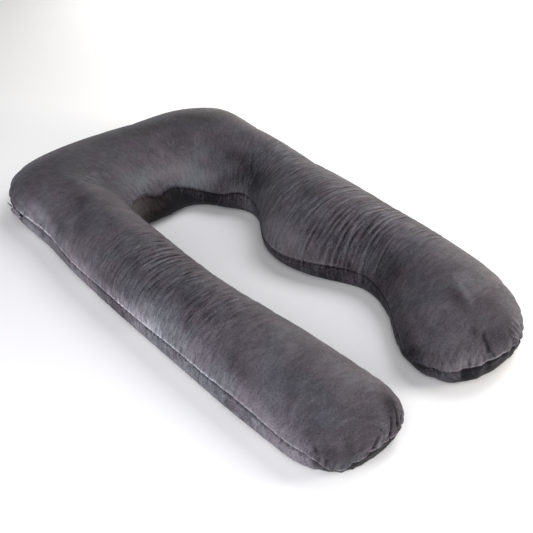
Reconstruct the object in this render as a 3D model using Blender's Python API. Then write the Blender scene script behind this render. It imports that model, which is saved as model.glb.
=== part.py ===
"""Body pillow: a filled, U-shaped pillow in plush velvet, lying on its back.

Two panels are cut to one outline, sewn together round the rim and filled. The top panel rises to a
crown, the seam pulls the sides in, and the lower panel curves under to the patch on which the
pillow rests. One arm is plain and straight; the other has a belly, a narrow neck and a round foot.
A folded zip facing and the tip of the zip tape stick out of the seam beside the head.

Units are metres and +Z is up. The head section lies at +Y and both arms run towards -Y, the plain
one at -X. The origin is at the centre of the pillow's box, on the surface that it rests on.
"""

from collections import namedtuple

import bmesh
import bpy
import numpy as np
from mathutils import Vector
from mathutils.bvhtree import BVHTree

# ---- Driving dimensions ----
SEAM_HEIGHT = 0.056      # the rim seam above the surface
CROWN_POWER = 1.85       # section of the top panel: 2 is an ellipse, less is drawn in at the rim
LOWER_POWER = 2.7        # section of the lower panel, which is fuller
LOWER_SAG = 1.4          # depth of the lower panel if nothing pressed it flat, in seam heights
SEAM_DRAW = 0.004        # how far the stitches pull the rim in
SEAM_ROLL = 0.012        # half width of the furrow that the seam lies in
TIP_CROWN_POWER = 2.2    # how squarely the crown comes down at the end of an arm
TIP_SAG_GAIN = 1.3       # how soon the lower panel fills out behind the end of an arm

# ---- How finely the solid is faceted ----
STATION_PITCH = 0.026    # sections along the arms and the head
CLOSEST_PITCH = 0.0065   # sections are never closer than this
SEARCH_PITCH = 0.0015    # how finely the place of a crease is searched for
TOP_STEPS = 17           # points across the top panel, with both seam points
LOWER_STEPS = 13         # points across the lower panel, with both seam points
TIP_STEPS = 13           # sections in the round end of an arm

# ---- The sections, from the end of the plain arm round the head to the foot ----
# Each row lies across the pillow from its outer seam point to its inner one; crown is its height.
Section = namedtuple("Section", "name outer_x outer_y inner_x inner_y crown")
SECTIONS = (
    Section("plain_end", -0.363, -0.620, -0.106, -0.620, 0.146),
    Section("plain_low", -0.370, -0.450, -0.126, -0.450, 0.156),
    Section("plain_mid", -0.373, -0.270, -0.157, -0.270, 0.169),
    Section("plain_high", -0.376, -0.080, -0.164, -0.080, 0.173),
    Section("plain_root", -0.376, 0.080, -0.158, 0.080, 0.172),
    Section("crook_start", -0.371, 0.215, -0.149, 0.200, 0.169),
    Section("crook_side", -0.363, 0.350, -0.139, 0.213, 0.166),
    Section("crook_corner", -0.360, 0.521, -0.131, 0.220, 0.163),
    Section("crook_top", -0.296, 0.623, -0.120, 0.234, 0.161),
    Section("head_plain", -0.140, 0.662, -0.085, 0.233, 0.165),
    Section("head_middle", 0.010, 0.656, -0.010, 0.233, 0.171),
    Section("head_curved", 0.148, 0.639, 0.057, 0.234, 0.173),
    Section("bend_top", 0.277, 0.627, 0.098, 0.203, 0.175),
    Section("bend_corner", 0.395, 0.566, 0.116, 0.169, 0.173),
    Section("bend_side", 0.403, 0.401, 0.136, 0.149, 0.174),
    Section("arm_root", 0.390, 0.214, 0.158, 0.117, 0.175),
    Section("armpit", 0.387, 0.040, 0.135, 0.035, 0.174),
    Section("belly_rise", 0.398, -0.065, 0.072, -0.065, 0.173),
    Section("belly", 0.400, -0.150, 0.062, -0.150, 0.169),
    Section("belly_fall", 0.396, -0.245, 0.096, -0.245, 0.163),
    Section("neck", 0.392, -0.340, 0.147, -0.340, 0.155),
    Section("ankle", 0.392, -0.420, 0.138, -0.420, 0.152),
    Section("instep", 0.392, -0.500, 0.095, -0.500, 0.147),
    Section("foot", 0.394, -0.575, 0.035, -0.575, 0.141),
)

# ---- The round ends of the arms ----
# reach is how far the end runs past the last section, power how square it is, lean its sideways
# drift, towards the outer seam if it is positive.
Tip = namedtuple("Tip", "name reach power lean")
PLAIN_TIP = Tip("plain_tip", 0.151, 2.75, -0.014)
FOOT_TIP = Tip("foot_tip", 0.202, 2.25, 0.043)

# ---- Main creases across the arms ----
# y is where the crease crosses the arm's middle, slant how far it runs on per metre outwards, from
# x_from to x_to.
Crease = namedtuple("Crease", "y slant x_from x_to depth half_width")
CREASES = (
    Crease(0.332, 0.67, -0.250, -0.165, 0.0030, 0.010),
    Crease(0.003, 0.02, -0.285, -0.200, 0.0028, 0.010),
    Crease(-0.033, -0.30, -0.340, -0.265, 0.0034, 0.009),
    Crease(-0.056, -0.08, -0.310, -0.200, 0.0036, 0.009),
    Crease(-0.083, 0.02, -0.300, -0.200, 0.0030, 0.009),
    Crease(-0.103, -0.12, -0.335, -0.205, 0.0036, 0.010),
    Crease(-0.122, -0.08, -0.340, -0.220, 0.0028, 0.009),
    Crease(-0.163, -0.30, -0.350, -0.285, 0.0030, 0.010),
    Crease(-0.213, -0.04, -0.300, -0.205, 0.0026, 0.011),
    Crease(-0.286, -0.25, -0.310, -0.240, 0.0024, 0.010),
    Crease(0.141, 0.00, 0.190, 0.270, 0.0026, 0.011),
    Crease(0.038, -0.04, 0.195, 0.300, 0.0028, 0.010),
    Crease(0.013, -0.02, 0.210, 0.345, 0.0032, 0.010),
    Crease(-0.134, -0.12, 0.180, 0.290, 0.0030, 0.011),
    Crease(-0.208, 0.03, 0.150, 0.290, 0.0034, 0.009),
    Crease(-0.230, 0.04, 0.105, 0.330, 0.0042, 0.009),
    Crease(-0.251, 0.02, 0.160, 0.310, 0.0034, 0.009),
    Crease(-0.268, 0.05, 0.140, 0.310, 0.0040, 0.009),
    Crease(-0.285, 0.06, 0.150, 0.300, 0.0038, 0.009),
    Crease(-0.308, 0.03, 0.150, 0.300, 0.0036, 0.010),
    Crease(-0.330, 0.02, 0.150, 0.270, 0.0028, 0.010),
    Crease(-0.355, 0.01, 0.150, 0.290, 0.0030, 0.011),
    Crease(-0.482, 0.00, 0.185, 0.250, 0.0026, 0.011),
)

CREASE_FADE = 0.6        # how far past its middle a crease reaches, in lengths
CREASE_PINCH = 0.7       # how sharp its furrow is, in half widths

# ---- Gathers where the seam turns ----
# bearing is the plan direction of the gather in degrees, seen from the middle of the turn: 0 is +X
# and 90 is +Y. climb is how far it runs up the top panel.
Turn = namedtuple("Turn", "name x y")
PLAIN_TURN = Turn("plain_turn", -0.232, -0.640)
FOOT_TURN = Turn("foot_turn", 0.222, -0.560)
HEAD_TURN = Turn("head_turn", -0.200, 0.490)
Gather = namedtuple("Gather", "turn bearing half_angle depth climb")
GATHERS = (
    Gather(PLAIN_TURN, 216.0, 6.0, 0.0040, 0.05),
    Gather(PLAIN_TURN, 246.0, 6.0, 0.0070, 0.06),
    Gather(PLAIN_TURN, 277.0, 5.5, 0.0050, 0.06),
    Gather(PLAIN_TURN, 295.0, 5.5, 0.0075, 0.08),
    Gather(PLAIN_TURN, 312.0, 6.0, 0.0085, 0.10),
    Gather(PLAIN_TURN, 332.0, 7.0, 0.0070, 0.10),
    Gather(FOOT_TURN, 196.0, 7.0, 0.0030, 0.04),
    Gather(FOOT_TURN, 222.0, 6.0, 0.0035, 0.04),
    Gather(FOOT_TURN, 244.0, 5.5, 0.0055, 0.05),
    Gather(FOOT_TURN, 266.0, 5.5, 0.0060, 0.06),
    Gather(FOOT_TURN, 283.0, 5.5, 0.0070, 0.08),
    Gather(FOOT_TURN, 301.0, 5.5, 0.0060, 0.06),
    Gather(FOOT_TURN, 322.0, 6.0, 0.0050, 0.05),
    Gather(FOOT_TURN, 346.0, 7.0, 0.0040, 0.05),
    Gather(HEAD_TURN, 125.0, 6.0, 0.0035, 0.05),
    Gather(HEAD_TURN, 146.0, 6.0, 0.0045, 0.05),
    Gather(HEAD_TURN, 166.0, 6.0, 0.0040, 0.05),
)

# ---- Uneven filling: broad swells and hollows in the top panel ----
Swell = namedtuple("Swell", "x y half_x half_y height")
SWELLS = (
    Swell(-0.250, -0.480, 0.09, 0.12, 0.004),
    Swell(-0.270, -0.150, 0.07, 0.10, -0.003),
    Swell(-0.250, 0.330, 0.11, 0.10, 0.004),
    Swell(0.020, 0.460, 0.12, 0.12, -0.004),
    Swell(0.190, 0.520, 0.10, 0.10, 0.004),
    Swell(0.300, 0.080, 0.09, 0.09, -0.003),
    Swell(0.220, -0.160, 0.10, 0.10, 0.004),
    Swell(0.240, -0.560, 0.11, 0.10, 0.003),
)

# ---- The zip's end, in the outer seam beside the head ----
FACING_Y = 0.477         # middle of the folded facing along the seam
FACING_LENGTH = 0.056
FACING_REACH = 0.015     # how far it stands out of the rim
FACING_DEPTH = 0.021     # its height
FACING_DROP = 0.0065     # its middle, below the seam
TAPE_X = -0.368
TAPE_LENGTH = 0.024
TAPE_WIDTH = 0.007
TAPE_THICKNESS = 0.0016
TAPE_POINT = 0.15        # how much of the width is left at the tip
TAPE_DROP = 0.001
PIECE_GAP = 0.0004       # most clearance between a sewn-on piece and what it sits on
LEAST_GAP = 0.00035      # least clearance there
START_X = -0.470         # beside the pillow, from where the facing is slid to its seat
START_Y = 0.600          # past the facing, from where the tape is slid to its seat

# ---- Colours and finishes ----
VELVET_GREY = (0.105, 0.096, 0.110)
FACING_GREY = (0.190, 0.180, 0.200)
TAPE_GREY = (0.050, 0.046, 0.052)
VELVET_ROUGHNESS = 0.9
TAPE_ROUGHNESS = 0.8


def clear_scene():
    """Remove every object that the file starts with."""
    for found in list(bpy.data.objects):
        bpy.data.objects.remove(found, do_unlink=True)


def make_collection(name):
    """Return a new collection linked to the scene."""
    made = bpy.data.collections.new(name)
    bpy.context.scene.collection.children.link(made)
    return made


def make_material(name, colour, roughness):
    """Return a Principled material for a cloth."""
    made = bpy.data.materials.new(name)
    made.use_nodes = True
    shader = made.node_tree.nodes["Principled BSDF"]
    shader.inputs["Base Color"].default_value = (*colour, 1.0)
    shader.inputs["Roughness"].default_value = roughness
    shader.inputs["Metallic"].default_value = 0.0
    return made


def add_object(name, mesh, material, collection):
    """Wrap a bmesh as a named object with one material, shaded smooth."""
    data = bpy.data.meshes.new(name)
    bmesh.ops.recalc_face_normals(mesh, faces=mesh.faces)
    mesh.to_mesh(data)
    mesh.free()
    data.shade_smooth()
    data.materials.append(material)
    made = bpy.data.objects.new(name, data)
    collection.objects.link(made)
    return made


def midpoint_steps(rows):
    """Distances from each row's midpoint to the next one's."""
    table = np.array([row[1:] for row in rows])
    middle = (table[:, 0:2] + table[:, 2:4]) / 2
    return np.linalg.norm(np.diff(middle, axis=0), axis=1)


def smooth_rows(rows, spots):
    """Run a natural cubic spline through the rows and return it at the given spots.

    The rows are spaced by the distance between their midpoints, and so are the spots.
    """
    table = np.array([row[1:] for row in rows])
    gap = midpoint_steps(rows)
    along = np.concatenate([[0.0], np.cumsum(gap)])
    count = len(along)
    system = np.eye(count)
    target = np.zeros_like(table)
    for i in range(1, count - 1):
        system[i, i - 1] = gap[i - 1]
        system[i, i] = 2 * (gap[i - 1] + gap[i])
        system[i, i + 1] = gap[i]
        rise = (table[i + 1] - table[i]) / gap[i]
        before = (table[i] - table[i - 1]) / gap[i - 1]
        target[i] = 6 * (rise - before)
    bend = np.linalg.solve(system, target)
    place = np.clip(np.searchsorted(along, spots, side="right") - 1, 0, count - 2)
    step = gap[place][:, None]
    left = (np.asarray(spots) - along[place])[:, None]
    right = step - left
    curve = (bend[place] * right ** 3 + bend[place + 1] * left ** 3) / (6 * step)
    curve += (table[place] / step - bend[place] * step / 6) * right
    curve += (table[place + 1] / step - bend[place + 1] * step / 6) * left
    return curve


def section_spots(rows):
    """Places of the sections: evenly spaced, with one more on each main crease."""
    length = midpoint_steps(rows).sum()
    even = np.linspace(0.0, length, int(length / STATION_PITCH) + 1)
    fine = np.linspace(0.0, length, int(length / SEARCH_PITCH))
    curve = smooth_rows(rows, fine)
    middle = (curve[:, 0:2] + curve[:, 2:4]) / 2
    wanted = list(even)
    for crease in CREASES:
        same_arm = middle[:, 0] * crease.x_from > 0
        for offset in (-crease.half_width, 0.0, crease.half_width):
            miss = np.where(same_arm, np.abs(middle[:, 1] - crease.y - offset), length)
            wanted.append(fine[np.argmin(miss)])
    wanted.sort()
    kept = [wanted[0]]
    for spot in wanted[1:]:
        if spot - kept[-1] > CLOSEST_PITCH:
            kept.append(spot)
    kept[-1] = length
    return np.array(kept)


def tip_sections(last, before, tip):
    """Sections of a round arm end, from next to the last section out to a single seam point."""
    outer, inner = last[0:2], last[2:4]
    middle = (outer + inner) / 2
    onward = middle - (before[0:2] + before[2:4]) / 2
    onward /= np.linalg.norm(onward)
    half = (outer - inner) / 2
    side = half / np.linalg.norm(half)
    rows = []
    for share in np.sin(np.linspace(0.0, np.pi / 2, TIP_STEPS + 1)[1:]):
        width = max(0.0, 1 - share ** tip.power) ** (1 / tip.power)
        height = max(0.0, 1 - share ** TIP_CROWN_POWER) ** (1 / TIP_CROWN_POWER)
        centre = middle + onward * tip.reach * share + side * tip.lean * share ** 2
        rows.append((*(centre + half * width), *(centre - half * width), last[4], height))
    return rows


def all_sections():
    """Every section as (outer x, outer y, inner x, inner y, crown, fullness), tip to tip."""
    body = smooth_rows(SECTIONS, section_spots(SECTIONS))
    plain_end = tip_sections(body[0], body[1], PLAIN_TIP)
    foot_end = tip_sections(body[-1], body[-2], FOOT_TIP)
    full = [(*row, 1.0) for row in body]
    return plain_end[::-1] + full + foot_end


def section_points(row):
    """Points round one section: over the top panel to the inner seam, back under the lower one."""
    outer = np.array(row[0:2])
    inner = np.array(row[2:4])
    crown, fullness = row[4:6]
    middle = (outer + inner) / 2
    half = (outer - inner) / 2
    points = []
    for turn in np.linspace(0.0, np.pi, TOP_STEPS):
        across = np.sign(np.cos(turn)) * abs(np.cos(turn)) ** (2 / CROWN_POWER)
        rise = abs(np.sin(turn)) ** (2 / CROWN_POWER)
        spot = middle + half * across
        points.append((*spot, SEAM_HEIGHT + (crown - SEAM_HEIGHT) * fullness * rise))
    for turn in np.linspace(np.pi, 2 * np.pi, LOWER_STEPS)[1:-1]:
        across = np.sign(np.cos(turn)) * abs(np.cos(turn)) ** (2 / LOWER_POWER)
        fall = abs(np.sin(turn)) ** (2 / LOWER_POWER) * min(1.0, TIP_SAG_GAIN * fullness)
        spot = middle + half * across
        points.append((*spot, max(0.0, SEAM_HEIGHT * (1 - LOWER_SAG * fall))))
    return points


def bell(distance, half_width):
    """Smooth bump of height 1 that has died away at three half widths."""
    return np.exp(-(distance / half_width) ** 2)


def crease_relief(point):
    """Depth of the creases across the arms at a point of the top panel."""
    depth = 0.0
    for crease in CREASES:
        middle_x = (crease.x_from + crease.x_to) / 2
        offset = point.y - crease.y - crease.slant * (point.x - middle_x)
        inside = bell(point.x - middle_x, (crease.x_to - crease.x_from) * CREASE_FADE)
        depth -= crease.depth * bell(offset, crease.half_width * CREASE_PINCH) * inside
    return depth


def gather_relief(point):
    """Depth of the gathers beside the seam where it turns."""
    depth = 0.0
    for gather in GATHERS:
        away = Vector((point.x - gather.turn.x, point.y - gather.turn.y))
        bearing = np.degrees(np.arctan2(away.y, away.x)) % 360.0
        apart = (bearing - gather.bearing + 180.0) % 360.0 - 180.0
        climbed = abs(point.z - SEAM_HEIGHT)
        reach = gather.climb if point.z > SEAM_HEIGHT else SEAM_HEIGHT
        depth -= gather.depth * bell(apart, gather.half_angle) * bell(climbed, reach)
    return depth


def swell_relief(point):
    """Height of the broad swells and hollows at a point of the top panel."""
    height = 0.0
    for swell in SWELLS:
        near = bell(point.x - swell.x, swell.half_x) * bell(point.y - swell.y, swell.half_y)
        height += swell.height * near
    return height


def seam_relief(point):
    """Depth of the furrow that the rim seam lies in."""
    return -SEAM_DRAW * bell(point.z - SEAM_HEIGHT, SEAM_ROLL)


def shape_surface(mesh):
    """Push the loft's points in and out for the seam, gathers, creases and uneven filling."""
    mesh.normal_update()
    moves = []
    for vert in mesh.verts:
        if vert.co.z <= 0.0:
            moves.append(Vector((0.0, 0.0, 0.0)))
            continue
        push = seam_relief(vert.co) + gather_relief(vert.co)
        if vert.co.z > SEAM_HEIGHT:
            above = min(1.0, (vert.co.z - SEAM_HEIGHT) / SEAM_ROLL)
            push += (crease_relief(vert.co) + swell_relief(vert.co)) * above
        moves.append(vert.normal * push)
    for vert, move in zip(mesh.verts, moves):
        vert.co += move
        vert.co.z = max(0.0, vert.co.z)


def build_pillow():
    """Return the closed loft of the whole pillow."""
    mesh = bmesh.new()
    rows = all_sections()
    rings = []
    for row in rows[1:-1]:
        rings.append([mesh.verts.new(point) for point in section_points(row)])
    around = len(rings[0])
    for ring, following in zip(rings, rings[1:]):
        for i in range(around):
            j = (i + 1) % around
            mesh.faces.new((ring[i], ring[j], following[j], following[i]))
    for ring, row in ((rings[0], rows[0]), (rings[-1], rows[-1])):
        point = mesh.verts.new((row[0], row[1], SEAM_HEIGHT))
        for i in range(around):
            mesh.faces.new((ring[i], ring[(i + 1) % around], point))
    bmesh.ops.recalc_face_normals(mesh, faces=mesh.faces)
    shape_surface(mesh)
    bmesh.ops.triangulate(mesh, faces=mesh.faces, quad_method="SHORT_EDGE")
    return mesh


def centre_on_floor(meshes):
    """Move the pieces together so that the middle of their box is over the origin."""
    places = np.array([vert.co for mesh in meshes for vert in mesh.verts])
    middle = (places.min(axis=0) + places.max(axis=0)) / 2
    for mesh in meshes:
        bmesh.ops.translate(mesh, verts=mesh.verts, vec=Vector((-middle[0], -middle[1], 0.0)))


def seat_against(mesh, body, start, way):
    """Slide a piece from its start along a unit vector until one piece gap parts it from the body."""
    shell = BVHTree.FromBMesh(body)
    bmesh.ops.translate(mesh, verts=mesh.verts, vec=start)
    nearest = min(shell.find_nearest(vert.co)[3] for vert in mesh.verts)
    while nearest > PIECE_GAP:
        bmesh.ops.translate(mesh, verts=mesh.verts, vec=way * (nearest - LEAST_GAP))
        nearest = min(shell.find_nearest(vert.co)[3] for vert in mesh.verts)


def build_facing():
    """Return the folded zip facing: a soft, flattened lobe that hangs out under the seam."""
    mesh = bmesh.new()
    bmesh.ops.create_uvsphere(mesh, u_segments=20, v_segments=12, radius=0.5)
    size = Vector((FACING_REACH, FACING_LENGTH, FACING_DEPTH))
    bmesh.ops.scale(mesh, verts=mesh.verts, vec=size)
    return mesh


def build_tape_tip():
    """Return the end of the zip tape: a thin tongue that narrows to a point."""
    mesh = bmesh.new()
    bmesh.ops.create_cube(mesh, size=1.0)
    size = Vector((TAPE_THICKNESS, TAPE_LENGTH, TAPE_WIDTH))
    bmesh.ops.scale(mesh, verts=mesh.verts, vec=size)
    for vert in mesh.verts:
        if vert.co.y > 0:
            vert.co.z = vert.co.z * TAPE_POINT + TAPE_WIDTH / 2
    return mesh


def main():
    """Build the pillow and the two pieces sewn into its seam."""
    clear_scene()
    collection = make_collection("body_pillow")
    pillow = build_pillow()
    facing = build_facing()
    facing_start = Vector((START_X, FACING_Y, SEAM_HEIGHT - FACING_DROP))
    seat_against(facing, pillow, facing_start, Vector((1.0, 0.0, 0.0)))
    tape = build_tape_tip()
    tape_start = Vector((TAPE_X, START_Y, SEAM_HEIGHT - TAPE_DROP))
    seat_against(tape, facing, tape_start, Vector((0.0, -1.0, 0.0)))
    centre_on_floor((pillow, facing, tape))
    velvet = make_material("velvet_grey", VELVET_GREY, VELVET_ROUGHNESS)
    add_object("pillow", pillow, velvet, collection)
    folded = make_material("facing_grey", FACING_GREY, VELVET_ROUGHNESS)
    add_object("zip_facing", facing, folded, collection)
    woven = make_material("tape_grey", TAPE_GREY, TAPE_ROUGHNESS)
    add_object("zip_tape_tip", tape, woven, collection)


main()
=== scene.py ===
"""Looks of the body pillow: plush velvet cover, its seam, creases and gathers, and the zip's end.

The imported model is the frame. Every piece here lies where its CAD node lies, in metres, +Z up, with
the head section at +Y, the plain arm at -X and the contoured arm at +X. The tables give lengths in
millimetres in the cutting pattern's coordinates, and the frame's box says where the pattern lies.
"""

import logging
import math
from dataclasses import astuple, dataclass, field
from enum import Enum

import bmesh
import bpy
import numpy as np
from bmesh.types import BMesh
from bpy.types import Material, NodeSocket as Socket, Object
from mathutils import Matrix, Vector
from mathutils.kdtree import KDTree


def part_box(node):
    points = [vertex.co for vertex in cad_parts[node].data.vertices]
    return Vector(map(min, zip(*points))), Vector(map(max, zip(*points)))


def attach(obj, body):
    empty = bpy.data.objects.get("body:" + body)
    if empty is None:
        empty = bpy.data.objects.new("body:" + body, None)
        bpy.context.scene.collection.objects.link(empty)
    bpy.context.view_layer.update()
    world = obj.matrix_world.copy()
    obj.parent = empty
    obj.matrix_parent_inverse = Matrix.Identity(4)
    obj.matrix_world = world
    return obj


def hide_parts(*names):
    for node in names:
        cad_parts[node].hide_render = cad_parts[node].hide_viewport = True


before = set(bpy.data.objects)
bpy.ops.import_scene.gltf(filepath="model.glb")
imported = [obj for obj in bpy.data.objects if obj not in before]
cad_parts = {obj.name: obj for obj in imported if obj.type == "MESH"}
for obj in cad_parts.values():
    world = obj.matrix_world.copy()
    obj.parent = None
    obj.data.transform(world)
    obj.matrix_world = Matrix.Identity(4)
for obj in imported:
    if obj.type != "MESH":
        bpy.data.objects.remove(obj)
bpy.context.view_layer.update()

LOG = logging.getLogger("body_pillow")
PHOTO_SIDE = 533
SENSOR_MM = 36.0


# ---------------------------------------------------------------------------------------------
# Soft shapes, and what the pattern's tables hold
# ---------------------------------------------------------------------------------------------


def bell(distance: np.ndarray, half_width: float) -> np.ndarray:
    """Return a smooth bump of height 1 that dies away past its half width."""
    return np.exp(-((distance / half_width) ** 2))


def fade(distance: np.ndarray, length: float) -> np.ndarray:
    """Return a ramp that climbs from 0 to 1 over a length."""
    return np.clip(distance / length, 0.0, 1.0)


def soft_ends(share: np.ndarray, flat: float, soft: float) -> np.ndarray:
    """Return 1 within `flat` of a line's middle, and a fall of half width `soft` past it."""
    return bell(np.maximum(np.abs(share - 0.5) - flat, 0.0), soft)


@dataclass(frozen=True)
class Section:
    """One cross-section, from its outer seam point to its inner one."""

    outer_x: float
    outer_y: float
    inner_x: float
    inner_y: float
    crown: float


@dataclass(frozen=True)
class Tip:
    """The round end of an arm: how far it runs on, how square it is and how far it drifts."""

    reach: float
    power: float
    lean: float


class Side(Enum):
    """The two arms, by the sign of their x."""

    PLAIN = -1
    CURVED = 1


@dataclass(frozen=True)
class Crease:
    """A furrow drawn between two points of the pattern; its middle bows towards the head."""

    x_from: float
    y_from: float
    x_to: float
    y_to: float
    bow: float
    depth: float
    half_width: float


@dataclass(frozen=True)
class CrinkleBand:
    """A stretch of an arm that is covered with fine crinkles from rim to rim.

    Their pitch, depth and slant are the usual ones. Across the arm, places run from -1 at the
    inner seam to 1 at the outer one: between two of them lie the crinkles' middles, and longest is
    the greatest half length.
    """

    y_low: float
    y_high: float
    pitch: float
    depth: float
    slant: float
    across_low: float
    across_high: float
    longest: float
    side: Side
    seed: int

    def on_arm(self, x: np.ndarray) -> np.ndarray:
        """Say which points lie on the band's arm."""
        return x * self.side.value > 0


@dataclass(frozen=True)
class Gather:
    """A fold that runs up from the seam where it turns.

    bearing is its plan direction in degrees from the middle of the turn, and skew how many degrees
    it leans for each metre that it climbs.
    """

    centre_x: float
    centre_y: float
    depth: float
    climb: float
    bearing: float
    half_angle: float
    skew: float


@dataclass(frozen=True)
class Swell:
    """A broad rise or hollow of the uneven filling."""

    x: float
    y: float
    half_x: float
    half_y: float
    height: float


@dataclass(frozen=True)
class PlanPatch:
    """A soft patch in plan: in the nap table the pile lying another way together with painted light
    and shade, in the rim table crinkles.
    """

    x: float
    y: float
    half_long: float
    half_short: float
    bearing: float
    tone: float

    def patch(self, plan: np.ndarray) -> np.ndarray:
        """Return the mark's tone at each point, strongest in its middle."""
        turn = math.radians(self.bearing)
        away = plan[:, 0:2] - (self.x, self.y)
        long = away @ (math.cos(turn), math.sin(turn))
        short = away @ (-math.sin(turn), math.cos(turn))
        return self.tone * bell(long, self.half_long) * bell(short, self.half_short)


@dataclass(frozen=True)
class SeamMark:
    """A stretch of the seam.

    lift says how much higher it runs there; the next two say how strong a painted highlight is on its
    lip and on the pile above it, and shade how much painted shade darkens the lower panel, with
    painted light making it paler below 0.
    """

    x: float
    y: float
    reach: float
    lift: float = 0.0
    painted_highlight: float = 0.0
    fringe_highlight: float = 0.0
    shade: float = 0.0

    def near(self, plan: np.ndarray) -> np.ndarray:
        """Return how near each point is to the mark, from 0 to 1."""
        return bell(np.hypot(plan[:, 0] - self.x, plan[:, 1] - self.y), self.reach)


@dataclass(frozen=True)
class Tuck:
    """A small fold at the rim, between two points on the cover; a negative depth is a ridge."""

    x_from: float
    y_from: float
    z_from: float
    x_to: float
    y_to: float
    z_to: float
    depth: float
    half_width: float


@dataclass(frozen=True)
class ZipFold:
    """A ridge or furrow beside the zip, along the outer seam next to the head.

    It runs from y_from, at lift_from above the seam, to y_to, at lift_to.
    """

    y_from: float
    lift_from: float
    y_to: float
    lift_to: float
    half_width: float
    height: float


@dataclass(frozen=True)
class Strip:
    """A bump that runs all along the seam, its middle so far above it; below 0 is a furrow."""

    height: float
    middle: float
    half_width: float

    def at(self, above: np.ndarray) -> np.ndarray:
        """Return the bump's height at points that lie so far above the seam."""
        return self.height * bell(above - self.middle, self.half_width)


@dataclass(frozen=True)
class Wave:
    """A sine along the pillow: its height, its rate in radians for each metre and its phase."""

    height: float
    rate: float
    phase: float

    def at(self, along: np.ndarray) -> np.ndarray:
        """Return the wave's height at points that lie so far along the pillow."""
        return self.height * np.sin(along * self.rate + self.phase)


def table(kind: type, rows: tuple, plain: int = 0) -> tuple:
    """Build a table from rows of bare numbers.

    Args:
        kind: The class of a row.
        rows: The rows, each with its lengths first.
        plain: How many values at the end of each row aren't lengths.

    Returns:
        One object for each row, with its lengths in metres.
    """
    cut = len(rows[0]) - plain
    return tuple(kind(*(round(mm / 1000, 7) for mm in row[:cut]), *row[cut:]) for row in rows)


SECTIONS = table(Section, (
    # outer x and y, inner x and y, crown
    (-363, -620, -106, -620, 146),  # plain end
    (-370, -450, -126, -450, 156),  # plain low
    (-373, -270, -157, -270, 169),  # plain mid
    (-376, -80, -164, -80, 173),    # plain high
    (-376, 80, -158, 80, 172),      # plain root
    (-371, 215, -149, 200, 169),    # crook start
    (-363, 350, -139, 213, 166),    # crook side
    (-360, 521, -131, 220, 163),    # crook corner
    (-296, 623, -120, 234, 161),    # crook top
    (-140, 662, -85, 233, 165),     # head plain
    (10, 656, -10, 233, 171),       # head middle
    (148, 639, 57, 234, 173),       # head curved
    (277, 627, 98, 203, 175),       # bend top
    (395, 566, 116, 169, 173),      # bend corner
    (403, 401, 136, 149, 174),      # bend side
    (390, 214, 158, 117, 175),      # arm root
    (387, 40, 135, 35, 174),        # armpit
    (398, -65, 72, -65, 173),       # belly rise
    (400, -150, 62, -150, 169),     # belly
    (396, -245, 96, -245, 163),     # belly fall
    (392, -340, 147, -340, 155),    # neck
    (392, -420, 138, -420, 152),    # ankle
    (392, -500, 95, -500, 147),     # instep
    (394, -575, 35, -575, 141),     # foot
))

CREASES = table(Crease, (
    # x and y from, x and y to, bow, depth, half width
    # contoured arm, from the bend down to the foot
    (212, 141, 250, 140, 2, 1.1, 2.3),
    (252, 80, 295, 79, 1, 0.8, 2.2),
    (200, 41, 262, 40, 3, 1, 2.3),
    (232, 15, 335, 13, 2, 0.9, 1.9),
    (190, -14, 262, -13, 4, 0.8, 2.4),
    (238, -24, 306, -23, 2, 0.8, 2.1),
    (236, -118, 262, -118, 1, 0.9, 1.9),
    (190, -131, 266, -139, -2, 1.1, 2.2),
    (158, -160, 190, -157, 2, 0.8, 2.2),
    (178, -186, 214, -183, 2, 0.9, 2.2),
    (140, -202, 200, -196, 3, 1, 2.3),
    (160, -215, 275, -210, 5, 1.2, 2.3),
    (112, -240, 330, -226, 6, 1.3, 2.4),
    (172, -254, 296, -248, 5, 1.2, 2.2),
    (138, -279, 292, -269, 9, 1.2, 2.4),
    (152, -296, 290, -284, 12, 1.3, 2.4),
    (208, -290, 266, -289, 1, 1.2, 1.9),
    (150, -314, 288, -309, 7, 1.1, 2.4),
    (152, -333, 250, -327, 5, 0.9, 2.4),
    (160, -341, 256, -337, 4, 0.9, 2.1),
    (172, -355, 272, -351, 4, 1.1, 2.4),
    (170, -371, 262, -367, 3, 0.8, 2.3),
    (189, -416, 230, -427, 1, 0.9, 2.4),
    (250, -444, 345, -452, 4, 1.1, 2.7),
    (196, -483, 242, -481, 2, 1.1, 2.7),
    (230, -643, 264, -640, 2, 0.9, 2.2),
    # plain arm, from the head down
    (-274, 4, -220, 4, 0, 1.7, 2.4),
    (-330, -23, -278, -42, -3, 1.7, 2.4),
    (-275, -34, -262, -37, 0, 1.3, 2.2),
    (-245, -39, -214, -38, 0, 1.5, 2.3),
    (-302, -48, -212, -57, -4, 2, 2.4),
    (-342, -68, -300, -75, -2, 1.7, 2.4),
    (-292, -80, -212, -78, -6, 2.3, 2.6),
    (-326, -87, -226, -102, -4, 2.6, 2.6),
    (-294, -108, -204, -104, -7, 2.6, 2.6),
    (-336, -114, -240, -125, -4, 2, 2.4),
    (-345, -155, -304, -169, -1, 1.7, 2.6),
    (-330, -140, -235, -150, -4, 1.3, 2.4),
    (-300, -178, -225, -182, -3, 1.3, 2.6),
    (-275, -197, -250, -195, 0, 1.4, 2.2),
    (-282, -211, -216, -215, -4, 1.8, 2.4),
    (-290, -245, -273, -246, 0, 1.3, 2.2),
    (-292, -281, -268, -289, 0, 2, 2.3),
    (-288, -314, -252, -317, 0, 1.4, 2.4),
    (-244, -334, -196, -334, 0, -0.9, 3),
    # dimples at the head's inner corner
    (-250, 303, -232, 316, 0, 2, 2.4),
    (-226, 318, -196, 342, 2, 2.3, 2.6),
    (-190, 344, -166, 361, 0, 2, 2.4),
    (-165, 338, -143, 342, 0, 1.7, 2.4),
    (-152, 303, -142, 306, 0, 1.4, 2.4),
))

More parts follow.
